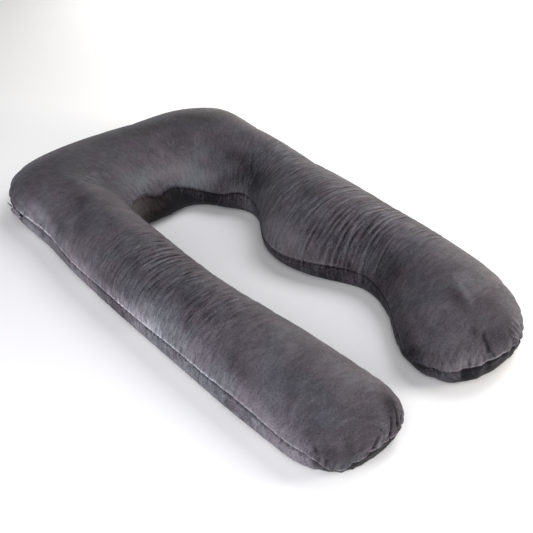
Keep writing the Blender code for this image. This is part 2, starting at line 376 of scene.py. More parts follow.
CRINKLE_BANDS = table(CrinkleBand, (
    # y low, y high, pitch, depth, slant; across from and to, longest, side, seed
    (-370, -140, 8.5, 1.1, 4, -0.9, 0.8, 0.8, Side.CURVED, 11),
    (-140, 10, 10, 0.7, 6, -0.9, 0.1, 0.3, Side.CURVED, 10),
    (-350, -120, 11, 1.1, 5, -0.5, 0.7, 0.8, Side.CURVED, 12),
    (-20, 230, 8.5, 0.9, 6, 0, 0.95, 0.5, Side.CURVED, 13),
    (-290, -180, 8, 1.2, 3, -1.1, -0.45, 0.5, Side.CURVED, 14),
    (-430, -100, 6.2, 1.2, 10, 0.1, 1, 0.26, Side.CURVED, 19),
    (-200, 60, 6, 1, 8, -0.95, 0.8, 0.3, Side.PLAIN, 15),
    (-180, 0, 8.5, 1.2, 5, -0.9, 0.1, 0.45, Side.PLAIN, 16),
    (-300, -120, 8, 0.9, 14, -0.9, 0.6, 0.2, Side.PLAIN, 17),
    (-420, -200, 12, 0.7, 12, -0.8, 0.6, 0.25, Side.PLAIN, 18),
), plain=5)

# how far towards the head crinkles bow from rim to rim, and the place across where they turn
CRINKLE_BOWS = {Side.CURVED: (-0.010, 0.2), Side.PLAIN: (0.010, -0.15)}

# the middle of each turn of the seam, and its gathers: depth, climb; bearing, half angle, skew
TURNS = (
    # the plain arm's end
    ((-232, -640), (
        (3, 30, 216, 3.6, 0),
        (2.6, 26, 232, 2.9, 100),
        (5.1, 32, 246, 3.2, 200),
        (3, 27, 262, 2.5, 400),
        (2.5, 35, 277, 2.7, 650),
        (1.4, 27, 286, 2.2, 550),
        (3.1, 41, 295, 2.7, 500),
        (1.7, 34, 304, 2.2, 450),
        (3.2, 49, 313, 2.9, 350),
        (1.9, 41, 322, 2.3, 300),
        (2.7, 53, 332, 3.3, 200),
        (1.4, 38, 349, 4, 0),
    )),
    # the foot
    ((222, -560), (
        (2.3, 22, 196, 3.9, 0),
        (2.6, 19, 214, 2.6, 0),
        (2.6, 17, 230, 2.3, 0),
        (4.1, 23, 244, 2.6, 0),
        (2.3, 17, 256, 2, 0),
        (4.1, 28, 266, 2.5, 0),
        (2.6, 20, 275, 2, 0),
        (5.3, 34, 284, 2.3, 0),
        (3, 22, 293, 2, 0),
        (4.3, 25, 302, 2.5, 0),
        (1.8, 20, 312, 2, 0),
        (1.6, 25, 323, 2.7, 0),
        (1, 22, 335, 2.3, 0),
        (0.8, 25, 347, 3.2, 0),
    )),
    # the head's outer corner
    ((-200, 490), (
        (3, 50, 125, 5, 0),
        (4, 50, 146, 5, 0),
        (3.5, 50, 166, 5, 0),
    )),
)
GATHERS = table(Gather, tuple((*turn, *row) for turn, rows in TURNS for row in rows), plain=3)

SEAM_MARKS = table(SeamMark, (
    # x, y, reach, lift; painted highlight on the lip, painted highlight above it, painted shade below
    # the seam
    (-370, 415, 50, 1, 0.7, 0.3, -2.8),
    (-370, 290, 80, 6, 0.6, 0.25, -1.6),
    (-370, 110, 90, -2, 0.55, 0.3, -1.9),
    (-370, -110, 100, 0, 0.8, 0.5, -1.6),
    (-370, -200, 45, 0, 0.2, 0.45, 0),
    (-370, -310, 120, 6, 0.55, 0.2, -1.5),
    (-365, -500, 110, 9, 0.3, 0.1, -0.9),
    (-362, -610, 60, 0, 0.1, 0, -0.8),
    (-370, -385, 40, 0, 0.35, 0.05, -0.2),
    (-348, -690, 50, 0, 0.25, 0.1, -2.1),
    (-312, -740, 40, -44, 0.35, 0.1, -0.2),
    (-255, -765, 34, -14, 0.45, 0.05, 2.2),
    (-190, -770, 40, -12, 0.25, 0, 3),
    (-130, -725, 36, -16, 0.1, 0.1, 1.6),
    (-124, 240, 34, 30, 0, 0, -0.9),
    (-80, 262, 42, 36, 0, 0, 0.5),
    (-5, 250, 50, 36, 0, 0.05, 1.2),
    (50, 240, 45, 10, 0.05, 0.2, 0.8),
    (95, 208, 28, 0, 0, 0, 1.6),
    (140, 135, 45, 12, 0.15, 0.2, 0),
    (158, 108, 32, 0, 0, 0, -2.6),
    (70, -130, 90, -7, 0.2, 0.3, 0.7),
    (110, -265, 45, 0, 0.2, 0.1, 0.5),
    (140, -330, 80, 0, 0, 0, -0.6),
    (30, -630, 45, -14, 0, 0, 1),
    (50, -700, 34, -12, 0, 0.25, -1.5),
    (85, -720, 45, -2, 0.15, 0.4, 0.1),
    (110, -748, 22, 0, 0, 0, 0.8),
    (160, -755, 60, 4, 0.35, 0, 1.3),
    (260, -745, 60, -4, 0.2, 0.1, 0.5),
), plain=3)

# where a painted olive bounce light falls on the lower wall of the head's bay
BOUNCE_WALL = SeamMark(-0.072, 0.248, 0.085)

TUCKS = table(Tuck, (
    # x, y and z from, x, y and z to, depth, half width
    # plain arm's end, from its outer side to its inner side
    (-338, -706, 82, -334, -710, 62, 2.2, 4),
    (-326, -730, 54, -319, -727, 24, 4.8, 3),
    (-302, -743, 54, -307, -739, 25, -2.4, 4),
    (-297, -750, 40, -302, -745, 27, 3.4, 3),
    (-285, -738, 98, -282, -752, 36, 1.4, 9),
    (-268, -758, 56, -276, -756, 46, -2.6, 4),
    (-224, -766, 76, -249, -761, 40, 4.4, 4.8),
    (-217, -758, 91, -212, -760, 85, 2, 2.2),
    (-216, -766, 70, -226, -766, 56, -2.8, 4),
    (-207, -764, 80, -208, -767, 73, 2.2, 2.2),
    (-180, -755, 91, -190, -767, 63, 3.8, 3.2),
    (-190, -767, 63, -190, -764, 43, 4.4, 3),
    (-153, -739, 95, -165, -761, 72, 4.2, 2.6),
    (-165, -761, 72, -166, -759, 28, 5, 2.6),
    (-171, -757, 80, -173, -758, 24, -3.4, 2),
    (-145, -747, 80, -148, -753, 69, 4, 2.4),
    (-151, -731, 100, -159, -738, 98, 1.6, 6),
    (-188, -770, 40, -192, -766, 14, 2.8, 2.8),
    (-209, -770, 40, -214, -766, 12, 3.4, 3),
    # foot
    (142, -719, 110, 133, -747, 85, 3, 4.6),
    (116, -739, 89, 116, -753, 70, 2.4, 3.4),
    (81, -725, 83, 85, -742, 63, 2, 3),
    (45, -684, 81, 44, -704, 61, 2, 3),
    (56, -709, 75, 54, -719, 60, 1.4, 2.6),
    (135, -745, 89, 143, -759, 71, 1.8, 3),
    (82, -735, 49, 88, -736, 22, 2.8, 3),
    (75, -730, 49, 79, -731, 23, 2.4, 2.8),
    (90, -741, 49, 94, -741, 29, 2.4, 2.8),
    (133, -753, 55, 136, -754, 37, 2.2, 3),
    (154, -758, 58, 165, -759, 40, 2.2, 3),
    (262, -712, 104, 268, -728, 87, -3, 2.2),
    (244, -724, 102, 250, -739, 85, -3.4, 2.2),
    (229, -730, 102, 242, -747, 77, -3.4, 2.2),
    (216, -735, 101, 228, -752, 77, -3.4, 2.2),
    (209, -747, 89, 225, -755, 74, -3, 2.2),
))

SWELLS = table(Swell, (
    # x, y, half x, half y, height
    (-250, -480, 90, 120, 4),
    (-270, -150, 70, 100, -3),
    (-250, 330, 110, 100, 4),
    (20, 460, 120, 120, -4),
    (190, 520, 100, 100, 4),
    (300, 80, 90, 90, -3),
    (220, -160, 100, 100, 4),
    (240, -560, 110, 100, 3),
    (-200, -768, 80, 30, -4.5),
    (-140, -748, 30, 30, -3.5),
    (310, -705, 50, 40, -4.5),
    (360, -620, 40, 60, -4),
))

ZIP_FOLDS = table(ZipFold, (
    # y and lift from, y and lift to, half width, height
    (506, 2, 276, 0, 4, 2.2),
    (500, -10, 442, -8, 3.8, -4.8),
    (446, -10, 440, -21, 3.4, -3.5),
    (408, -6, 338, -14, 3.6, -5.2),
    (400, -14, 345, -22, 4, 2),
    (489, 25, 413, 23, 6, -2.6),
))

CRINKLED_RIM = table(PlanPatch, (
    # x, y, half length, half width; bearing, how crinkled
    (372, -420, 140, 55, 90, 0.9),
    (345, -640, 75, 40, 60, 0.7),
), plain=2)

# patches where the pile lies another way, together with painted light and shade on parts of the cover
NAP_AND_SHADE_MARKS = table(PlanPatch, (
    # x, y, half length, half width; bearing, tone
    # head
    (-14, 275, 130, 35, 0, 0.4),
    (-14, 262, 95, 12, 1, -0.22),
    (-65, 292, 35, 30, 0, 0.35),
    (60, 270, 50, 25, 0, 0.3),
    (92, 230, 45, 22, 145, 0.65),
    (-110, 305, 70, 35, 80, 0.32),
    (-352, 356, 70, 10, 90, 0.5),
    (-316, 370, 50, 30, 90, 0.22),
    (-315, 410, 200, 85, 72, -0.24),
    (-278, 231, 40, 25, 20, -0.35),
    (-238, 401, 60, 40, 10, -0.1),
    (237, 430, 90, 50, 142, -0.5),
    (100, 460, 220, 55, 161, -0.4),
    (-9, 491, 56, 30, 38, -0.18),
    (-210, 214, 85, 26, 62, -0.18),
    (-258, 490, 130, 60, 175, -0.22),
    (8, 327, 50, 22, 19, 0.2),
    (150, 165, 50, 20, 134, -0.25),
    (192, 176, 75, 22, 95, -0.6),
    (205, 190, 60, 28, 73, 0.18),
    (178, 96, 35, 22, 90, -0.6),
    # contoured arm
    (267, 96, 50, 40, 0, 0.1),
    (118, -198, 50, 30, 118, -0.25),
    (160, -360, 60, 25, 108, 0.22),
    (187, -104, 30, 20, 20, -0.3),
    (171, 10, 50, 40, 50, -0.25),
    (80, -150, 120, 26, 98, 0.6),
    (282, -304, 38, 32, 54, 0.2),
    (245, -175, 65, 45, 160, 0.2),
    (273, -387, 130, 45, 90, 0.28),
    (166, -430, 80, 35, 80, -0.55),
    (92, -522, 85, 15, 51, -0.2),
    (165, -630, 50, 14, 70, -0.45),
    (195, -622, 42, 7, 66, 0.4),
    (228, -600, 35, 20, 90, 0.25),
    (209, -643, 45, 27, 137, 0.22),
    (215, -670, 60, 40, 90, -0.3),
    (130, -705, 10, 7, 90, -0.6),
    (170, -742, 55, 22, 170, -0.45),
    (22, -625, 50, 8, 95, -0.5),
    (70, -690, 60, 22, 150, 0.3),
    # plain arm
    (-315, 174, 40, 25, 60, -0.35),
    (-353, 225, 50, 15, 92, -0.22),
    (-233, -122, 80, 22, 91, -0.2),
    (-338, -130, 200, 30, 90, -0.28),
    (-361, -188, 45, 14, 90, 0.5),
    (-340, -225, 40, 12, 75, 0.2),
    (-368, -80, 50, 10, 90, -0.3),
    (-363, -346, 77, 15, 88, 0.15),
    (-340, -482, 50, 22, 95, -0.35),
    (-358, -600, 70, 12, 92, 0.35),
    (-238, -521, 55, 36, 171, 0.22),
    (-322, -733, 20, 10, 132, -0.4),
    (-356, -430, 230, 14, 91, 0.2),
    (-361, -114, 36, 16, 72, 0.22),
    (-305, -601, 70, 20, 83, -0.17),
    (-364, 120, 120, 12, 90, 0.1),
    (-370, -28, 70, 8, 88, -0.2),
    (-341, -184, 40, 26, 159, -0.16),
    (-345, -383, 43, 20, 110, -0.2),
    (-308, -260, 80, 16, 90, -0.35),
    (-210, -665, 60, 40, 0, 0.35),
    (-345, -660, 60, 16, 105, -0.15),
    (-162, -740, 30, 18, 60, -0.7),
), plain=2)


# ---------------------------------------------------------------------------------------------
# The form of the pillow
# ---------------------------------------------------------------------------------------------


def bunched(steps: int, bunch: float) -> np.ndarray:
    """Return half a turn in steps that are closer together at both ends."""
    share = np.linspace(0.0, 1.0, steps + 1)
    return math.pi * (share - bunch * np.sin(2 * math.pi * share) / (2 * math.pi))


@dataclass
class PillowForm:
    """The pillow's smooth shape, as cross-sections swept from the plain arm's end to the foot."""

    sections: tuple[Section, ...] = SECTIONS
    plain_tip: Tip = Tip(0.151, 2.75, -0.014)
    foot_tip: Tip = Tip(0.202, 2.25, 0.043)
    seam_height: float = 0.056
    crown_power: float = 1.85
    lower_power: float = 2.7
    lower_sag: float = 1.4
    tip_crown_power: float = 2.2
    tip_sag_gain: float = 1.3
    pitch: float = 0.0048
    creased_pitch: float = 0.0021
    pitch_samples: int = 4000
    pitch_blend: int = 60
    tip_steps: int = 84
    eased_rows: int = 24
    top_steps: int = 76
    lower_steps: int = 24
    top_bunch: float = 0.6
    lower_bunch: float = 0.9

    def rows(self) -> np.ndarray:
        """Return the section table as numbers: outer x, y, inner x, y and crown."""
        return np.array([astuple(section) for section in self.sections])

    def midpoint_steps(self) -> np.ndarray:
        """Return the distance from each section's midpoint to the next one's."""
        rows = self.rows()
        middle = (rows[:, 0:2] + rows[:, 2:4]) / 2
        return np.linalg.norm(np.diff(middle, axis=0), axis=1)

    def spline(self, spots: np.ndarray) -> np.ndarray:
        """Read the natural cubic spline through the sections.

        Args:
            spots: Distances along the line through the sections' midpoints.

        Returns:
            One row of section numbers for each spot.
        """
        rows, gap = self.rows(), self.midpoint_steps()
        along = np.concatenate([[0.0], np.cumsum(gap)])
        count = len(along)
        system = np.eye(count)
        target = np.zeros_like(rows)
        for i in range(1, count - 1):
            system[i, i - 1 : i + 2] = gap[i - 1], 2 * (gap[i - 1] + gap[i]), gap[i]
            rise = (rows[i + 1] - rows[i]) / gap[i]
            target[i] = 6 * (rise - (rows[i] - rows[i - 1]) / gap[i - 1])
        bend = np.linalg.solve(system, target)
        place = np.clip(np.searchsorted(along, spots, side="right") - 1, 0, count - 2)
        step = gap[place][:, None]
        left = (spots - along[place])[:, None]
        right = step - left
        curve = (bend[place] * right**3 + bend[place + 1] * left**3) / (6 * step)
        curve += (rows[place] / step - bend[place] * step / 6) * right
        return curve + (rows[place + 1] / step - bend[place + 1] * step / 6) * left

    def spots(self, coarseness: float) -> np.ndarray:
        """Space the cross-sections, closer where an arm is crinkled.

        Args:
            coarseness: How many times the usual pitch the sections are apart.

        Returns:
            Their distances along the line through the sections' midpoints.
        """
        fine = np.linspace(0.0, self.midpoint_steps().sum(), self.pitch_samples)
        curve = self.spline(fine)
        x, y = ((curve[:, 0:2] + curve[:, 2:4]) / 2).T
        creased = np.zeros(len(fine), bool)
        for band in CRINKLE_BANDS:
            creased |= band.on_arm(x) & (y > band.y_low) & (y < band.y_high)
        density = np.where(creased, 1 / self.creased_pitch, 1 / self.pitch) / coarseness
        blend = self.pitch_blend
        kernel = np.hanning(2 * blend)
        density = np.convolve(np.pad(density, blend, mode="edge"), kernel / kernel.sum(), "same")
        count = np.concatenate([[0.0], np.cumsum(density[blend:-blend][1:] * np.diff(fine))])
        return np.interp(np.linspace(0.0, count[-1], int(count[-1]) + 1), count, fine)

    def tip(self, last: np.ndarray, before: np.ndarray, tip: Tip, steps: int) -> np.ndarray:
        """Shape the round end of an arm.

        Args:
            last: The section where the end begins.
            before: The section next to it.
            tip: The end's sizes.
            steps: How many sections the end has.

        Returns:
            Rows of section numbers and fullness, out to a single point.
        """
        middle = (last[0:2] + last[2:4]) / 2
        onward = middle - (before[0:2] + before[2:4]) / 2
        onward /= np.linalg.norm(onward)
        half = (last[0:2] - last[2:4]) / 2
        aside = half / np.linalg.norm(half)
        share = np.sin(np.linspace(0.0, math.pi / 2, steps + 1)[1:])[:, None]
        width = np.maximum(0.0, 1 - share**tip.power) ** (1 / tip.power)
        height = np.maximum(0.0, 1 - share**self.tip_crown_power) ** (1 / self.tip_crown_power)
        centre = middle + onward * tip.reach * share + aside * tip.lean * share**2
        crown = np.full_like(share, last[4])
        return np.hstack([centre + half * width, centre - half * width, crown, height])

    def stations(self, coarseness: float = 1.0) -> np.ndarray:
        """Return every section from tip to tip, with its fullness."""
        body = self.spline(self.spots(coarseness))
        steps = int(self.tip_steps / coarseness)
        plain_end = self.tip(body[0], body[1], self.plain_tip, steps)
        foot_end = self.tip(body[-1], body[-2], self.foot_tip, steps)
        full = np.hstack([body, np.ones((len(body), 1))])
        rows = np.vstack([plain_end[::-1], full, foot_end])
        for join in (steps, len(rows) - 1 - steps):
            self.ease(rows, join, int(self.eased_rows / coarseness))
        return rows

    def ease(self, rows: np.ndarray, join: int, reach: int) -> None:
        """Round off the bend in the plan where an arm's end joins the arm.

        Args:
            rows: The sections, which are changed in place.
            join: The section in the middle of the bend.
            reach: How many sections to each side are rounded off.
        """
        sharp = rows[:, 0:4].copy()
        for row in range(join - reach + 1, join + reach):
            half = reach - abs(row - join)
            weight = np.hanning(2 * half + 3)[1:-1]
            rows[row, 0:4] = weight @ sharp[row - half : row + half + 1] / weight.sum()

    def turns(self, coarseness: float = 1.0) -> np.ndarray:
        """Return the directions round a section: over the top, then back under it."""
        over = bunched(int(self.top_steps / coarseness), self.top_bunch)
        under = math.pi + bunched(int(self.lower_steps / coarseness), self.lower_bunch)
        return np.concatenate([over, under[1:]])

    def refine(self, grid: np.ndarray, coarseness: float) -> np.ndarray:
        """Read numbers of a coarser lattice at every point of the full one.

        Args:
            grid: The numbers, one row for each of the coarser lattice's stations.
            coarseness: How much coarser that lattice is.

        Returns:
            The numbers on the full lattice, in step at the arms' ends and at the seam.
        """
        tips = (int(self.tip_steps / coarseness), self.tip_steps)
        tops = (int(self.top_steps / coarseness), self.top_steps)
        rows = (grid.shape[0] - 1, len(self.stations()) - 1)
        columns = (grid.shape[1] - 1, len(self.turns()) - 1)
        marks = [(0, tip, last - tip, last) for tip, last in zip(tips, rows)]
        row = np.interp(np.arange(rows[1] + 1), marks[1], marks[0])
        marks = [(0, top, last) for top, last in zip(tops, columns)]
        column = np.interp(np.arange(columns[1] + 1), marks[1], marks[0])
        tall = np.array([np.interp(row, np.arange(len(grid)), line) for line in grid.T]).T
        return np.array([np.interp(column, np.arange(grid.shape[1]), line) for line in tall])

    def surface(self, stations: np.ndarray, turns: np.ndarray) -> np.ndarray:
        """Return the points of the swept surface, one row for each station."""
        over = np.sin(turns) >= 0
        power = np.where(over, self.crown_power, self.lower_power)
        across = np.sign(np.cos(turns)) * np.abs(np.cos(turns)) ** (2 / power)
        lift = np.abs(np.sin(turns)) ** (2 / power)
        outer, inner = stations[:, None, 0:2], stations[:, None, 2:4]
        crown, fullness = stations[:, 4:5], stations[:, 5:6]
        plan = (outer + inner) / 2 + (outer - inner) / 2 * across[:, None]
        top = self.seam_height + (crown - self.seam_height) * fullness * lift
        sag = self.lower_sag * lift * np.minimum(1.0, self.tip_sag_gain * fullness)
        under = np.maximum(0.0, self.seam_height * (1 - sag))
        return np.dstack([plan, np.where(over, top, under)])


@dataclass
class Relief:
    """What the sewing and the wear press into the smooth form, in the pattern's coordinates, and the
    light and shade painted onto it.

    Lengths are in metres. A pair holds a least and a greatest value, and one named fall how far
    from its middle a fold keeps its depth and over what it then dies away, as shares of its
    length. A ridge stands at the side of its fold, with its height as a share of the fold's depth
    and its place and width in half widths of the fold.
    """

    seam_height: float
    lip: Strip = Strip(0.0012, 0.008, 0.006)
    furrow: Strip = Strip(-0.0045, -0.001, 0.0042)
    set_back: Strip = Strip(-0.0030, -0.016, 0.014)
    # painted shade along the seam's furrow
    dark_line: Strip = Strip(0.7, -0.0015, 0.0035)
    # painted highlight on the seam's lip and on the pile above it
    lip_highlight_strip: Strip = Strip(1.0, 0.0065, 0.0032)
    fringe_highlight_strip: Strip = Strip(1.0, 0.016, 0.019)
    lively_rim: Strip = Strip(0.45, 0.0, 0.035)
    panel_edge: float = 0.003
    fringe_edge: float = 0.004
    fringe_weight: float = 0.6
    # painted shade on the lower panel: its range, and how it deepens towards the floor
    shade_range: tuple[float, float] = (-1.6, 3.6)
    shade_high: float = 0.75
    shade_gain: float = 0.5
    shade_depth: float = 0.05
    quiet: float = 0.68
    lively_under: float = 0.60
    calm_wall: float = 0.6
    stitch_pitch: float = 0.0135
    stitch_depth: float = 0.0008
    stitch_reach: float = 0.014
    stitch_wander: tuple[Wave, ...] = (Wave(0.35, 61.0, 0.0), Wave(0.5, 23.0, 1.0))
    stitch_play: float = 2.2
    stitch_mean: float = 0.6
    stitch_swell: Wave = Wave(0.4, 37.0, 0.5)
    crinkle_run_under: float = 0.030
    # how deep a crease or a gather is where its painted shade is full
    dark_crease: float = 0.0024
    dark_gather: float = 0.0075
    crease_shade_range: tuple[float, float] = (-1.1, 1.4)
    tuck_reach: float = 0.020
    tuck_start: float = 0.45
    gather_ridge: float = 0.45
    gather_ridge_off: float = 1.7
    zip_side: float = -0.30
    zip_fall: tuple[float, float] = (0.4, 0.12)
    crease_fall: tuple[float, float] = (0.30, 0.17)
    crease_ridges: tuple[tuple[float, float], ...] = ((0.50, 2.0), (0.25, -2.0))
    crease_ridge_width: float = 1.2
    crinkle_reach: tuple[float, float] = (0.3, 1.0)
    crinkle_sway: tuple[float, float] = (0.0003, 0.0012)
    crinkle_phase: tuple[float, float] = (0.0, 6.28)
    crinkle_waves: float = 5.0
    crinkle_depth: tuple[float, float] = (0.3, 1.4)
    crinkle_width: tuple[float, float] = (0.26, 0.40)
    crinkle_step: tuple[float, float] = (0.6, 1.4)
    crinkle_ridge: float = 0.6
    crinkle_ridge_off: float = 1.7

    def push(
        self, plan: np.ndarray, normals: np.ndarray, across: np.ndarray, along: np.ndarray
    ) -> tuple[np.ndarray, np.ndarray]:
        """Shape the cover.

        Args:
            plan: Points in the pattern's coordinates.
            normals: The outward direction at each point.
            across: Their place across the section, from -1 at the inner seam to 1 at the outer.
            along: Their distance along the pillow.

        Returns:
            How far each point is pushed out, and the painted shade in the hollows of its folds and
            along the seam's furrow, with painted light on the folds' ridges below 0.
        """
        above = self.above_seam(plan)
        running = np.clip(1.0 + above / self.crinkle_run_under, 0.0, 1.0)
        fine = running * (self.creases(plan) + self.crinkles(plan, across))
        fine += self.tucks(plan, normals)
        broad = self.gathers(plan, above) + self.zip_folds(plan, above)
        seam = self.lip.at(above) + self.furrow.at(above) + self.set_back.at(above)
        smooth = seam + self.stitches(along, above) + self.swells(plan)
        # painted shade in the hollows of creases, crinkles, tucks, gathers and zip folds and along
        # the seam's furrow; painted light on ridges
        hollow = -fine / self.dark_crease - broad / self.dark_gather + self.dark_line.at(above)
        return smooth + fine + broad, np.clip(hollow, *self.crease_shade_range)

    def marked(self, plan: np.ndarray, quality: str) -> np.ndarray:
        """Return one quality of the seam's marks, added up at each point."""
        return sum(getattr(mark, quality) * mark.near(plan) for mark in SEAM_MARKS)

    def above_seam(self, plan: np.ndarray) -> np.ndarray:
        """Return how far each point lies above the seam, which doesn't run quite level."""
        return plan[:, 2] - self.seam_height - self.marked(plan, "lift")

    def painted_highlight(self, plan: np.ndarray) -> np.ndarray:
        """Return how strong the painted highlight is on the seam's lip and on the pile above it, from
        0 to 1.
        """
        above = self.above_seam(plan)
        lip = self.marked(plan, "painted_highlight") * self.lip_highlight_strip.at(above)
        fringe = self.marked(plan, "fringe_highlight") * self.fringe_highlight_strip.at(above)
        fringe *= fade(above, self.fringe_edge)
        return np.clip(lip + self.fringe_weight * fringe, 0.0, 1.0)

    def under(self, plan: np.ndarray) -> np.ndarray:
        """Return the painted shade on the lower panel, deeper towards the floor: 0 is as the cover
        above it, and below 0 is painted light that makes it paler.
        """
        shade = np.clip(1.0 + self.marked(plan, "shade"), *self.shade_range)
        below = -self.above_seam(plan)
        # the painted shade deepens towards the floor
        shade_towards_floor = self.shade_high + self.shade_gain * fade(below, self.shade_depth)
        return shade * shade_towards_floor * fade(below, self.panel_edge)

    def painted_bounce(self, plan: np.ndarray) -> np.ndarray:
        """Return how strongly a painted olive bounce light tints the cover: only on the wall of the
        head's bay, below the seam.
        """
        return BOUNCE_WALL.near(plan) * fade(-self.above_seam(plan), self.panel_edge)

    def lively(self, plan: np.ndarray, crinkled: np.ndarray) -> np.ndarray:
        """Return how strongly the strokes and the pile show: most at the rim and under it."""
        above = self.above_seam(plan)
        amount = self.quiet + (1 - self.quiet) * crinkled + self.lively_rim.at(above)
        amount += self.lively_under * fade(-above, self.panel_edge)
        return amount * (1 - self.calm_wall * self.painted_bounce(plan))

    def tucks(self, plan: np.ndarray, normals: np.ndarray) -> np.ndarray:
        """Return the small folds at the rim where the cover is gathered into the seam.

        Args:
            plan: Points in the pattern's coordinates.
            normals: The outward direction at each point.

        Returns:
            How far each point is pushed out. A tuck is deepest at its second end, and how far off
            it a point lies is measured within the surface.
        """
        push = np.zeros(len(plan))
        for tuck in TUCKS:
            start = np.array([tuck.x_from, tuck.y_from, tuck.z_from])
            run = np.array([tuck.x_to, tuck.y_to, tuck.z_to]) - start
            share = np.clip((plan - start) @ run / (run @ run), 0.0, 1.0)
            away = plan - start - share[:, None] * run
            out = (away * normals).sum(axis=1)
            apart = np.linalg.norm(away - out[:, None] * normals, axis=1)
            fold = bell(apart, tuck.half_width) * bell(out, self.tuck_reach)
            push -= tuck.depth * (self.tuck_start + (1 - self.tuck_start) * share) * fold
        return push

    def stitches(self, along: np.ndarray, above: np.ndarray) -> np.ndarray:
        """Return the small puckers that the stitches draw into the seam, of uneven pitch."""
        wander = sum(wave.at(along) for wave in self.stitch_wander)
        wave = np.sin(2 * math.pi * along / self.stitch_pitch + self.stitch_play * wander)
        swell = self.stitch_mean + self.stitch_swell.at(along)
        return self.stitch_depth * wave * swell * bell(above, self.stitch_reach)

    def gathers(self, plan: np.ndarray, above: np.ndarray) -> np.ndarray:
        """Return the folds at the turns of the seam, each with a ridge at its side."""
        push = np.zeros(len(plan))
        for gather in GATHERS:
            away = np.arctan2(plan[:, 1] - gather.centre_y, plan[:, 0] - gather.centre_x)
            bearing = gather.bearing + gather.skew * np.maximum(above, 0.0)
            apart = (np.degrees(away) - bearing + 180.0) % 360.0 - 180.0
            half = gather.half_angle
            fold = bell(apart, half)
            fold -= self.gather_ridge * bell(apart + self.gather_ridge_off * half, half)
            reach = np.where(above > 0, gather.climb, self.seam_height)
            push -= gather.depth * fold * bell(above, reach)
        return push

    def zip_folds(self, plan: np.ndarray, above: np.ndarray) -> np.ndarray:
        """Return the ridges and furrows beside the zip in the outer seam."""
        push = np.zeros(len(plan))
        outside = plan[:, 0] < self.zip_side
        for fold in ZIP_FOLDS:
            share = (plan[:, 1] - fold.y_from) / (fold.y_to - fold.y_from)
            line = fold.lift_from + (fold.lift_to - fold.lift_from) * np.clip(share, 0.0, 1.0)
            ends = soft_ends(share, *self.zip_fall)
            push += outside * fold.height * ends * bell(above - line, fold.half_width)
        return push

    def swells(self, plan: np.ndarray) -> np.ndarray:
        """Return the broad swells and hollows of the filling."""
        push = np.zeros(len(plan))
        for swell in SWELLS:
            near = bell(plan[:, 0] - swell.x, swell.half_x)
            push += swell.height * near * bell(plan[:, 1] - swell.y, swell.half_y)
        return push

    def creases(self, plan: np.ndarray) -> np.ndarray:
        """Return the listed furrows with the soft ridges that stand beside them."""
        push = np.zeros(len(plan))
        for crease in CREASES:
            run = np.array([crease.x_to - crease.x_from, crease.y_to - crease.y_from])
            length = np.linalg.norm(run)
            run /= length
            aside = np.array([-run[1], run[0]]) * np.sign(run[0])
            away = plan[:, 0:2] - (crease.x_from, crease.y_from)
            share = away @ run / length
            inside = np.clip(share, 0.0, 1.0)
            # a parabola that stands off by the crease's bow at its middle
            apart = away @ aside - 4 * crease.bow * inside * (1 - inside)
            width = crease.half_width
            fold = -bell(apart, width)
            for height, place in self.crease_ridges:
                fold += height * bell(apart - place * width, self.crease_ridge_width * width)
            push += crease.depth * soft_ends(share, *self.crease_fall) * fold
        return push

    def crinkles(self, plan: np.ndarray, across: np.ndarray) -> np.ndarray:
        """Return the fine crinkles across the arms, each set off unevenly from the last."""
        push = np.zeros(len(plan))
        for band in CRINKLE_BANDS:
            draw = np.random.default_rng(band.seed)
            on_arm = band.on_arm(plan[:, 0])
            rise, crest = CRINKLE_BOWS[band.side]
            y = band.y_low
            while y < band.y_high:
                middle = draw.uniform(band.across_low, band.across_high)
                reach = band.longest * draw.uniform(*self.crinkle_reach)
                slant = draw.normal(0.0, band.slant)
                sway = draw.uniform(*self.crinkle_sway)
                phase = draw.uniform(*self.crinkle_phase)
                depth = band.depth * draw.uniform(*self.crinkle_depth)
                width = band.pitch * draw.uniform(*self.crinkle_width)
                line = y + rise * (across - crest) ** 2 + slant * across
                line += sway * np.sin(self.crinkle_waves * across + phase)
                apart = plan[:, 1] - line
                ridge = self.crinkle_ridge * bell(apart - self.crinkle_ridge_off * width, width)
                push += on_arm * depth * (ridge - bell(apart, width)) * bell(across - middle, reach)
                y += band.pitch * draw.uniform(*self.crinkle_step)
        return push


# ---------------------------------------------------------------------------------------------
# Finishes
# ---------------------------------------------------------------------------------------------


def srgb(code: str) -> tuple[float, float, float, float]:
    """Turn an sRGB hex code such as "5a555c" into linear red, green, blue and alpha 1."""
    values = [int(code[i : i + 2], 16) / 255 for i in (0, 2, 4)]
    linear = [v / 12.92 if v <= 0.04045 else ((v + 0.055) / 1.055) ** 2.4 for v in values]
    return (*linear, 1.0)


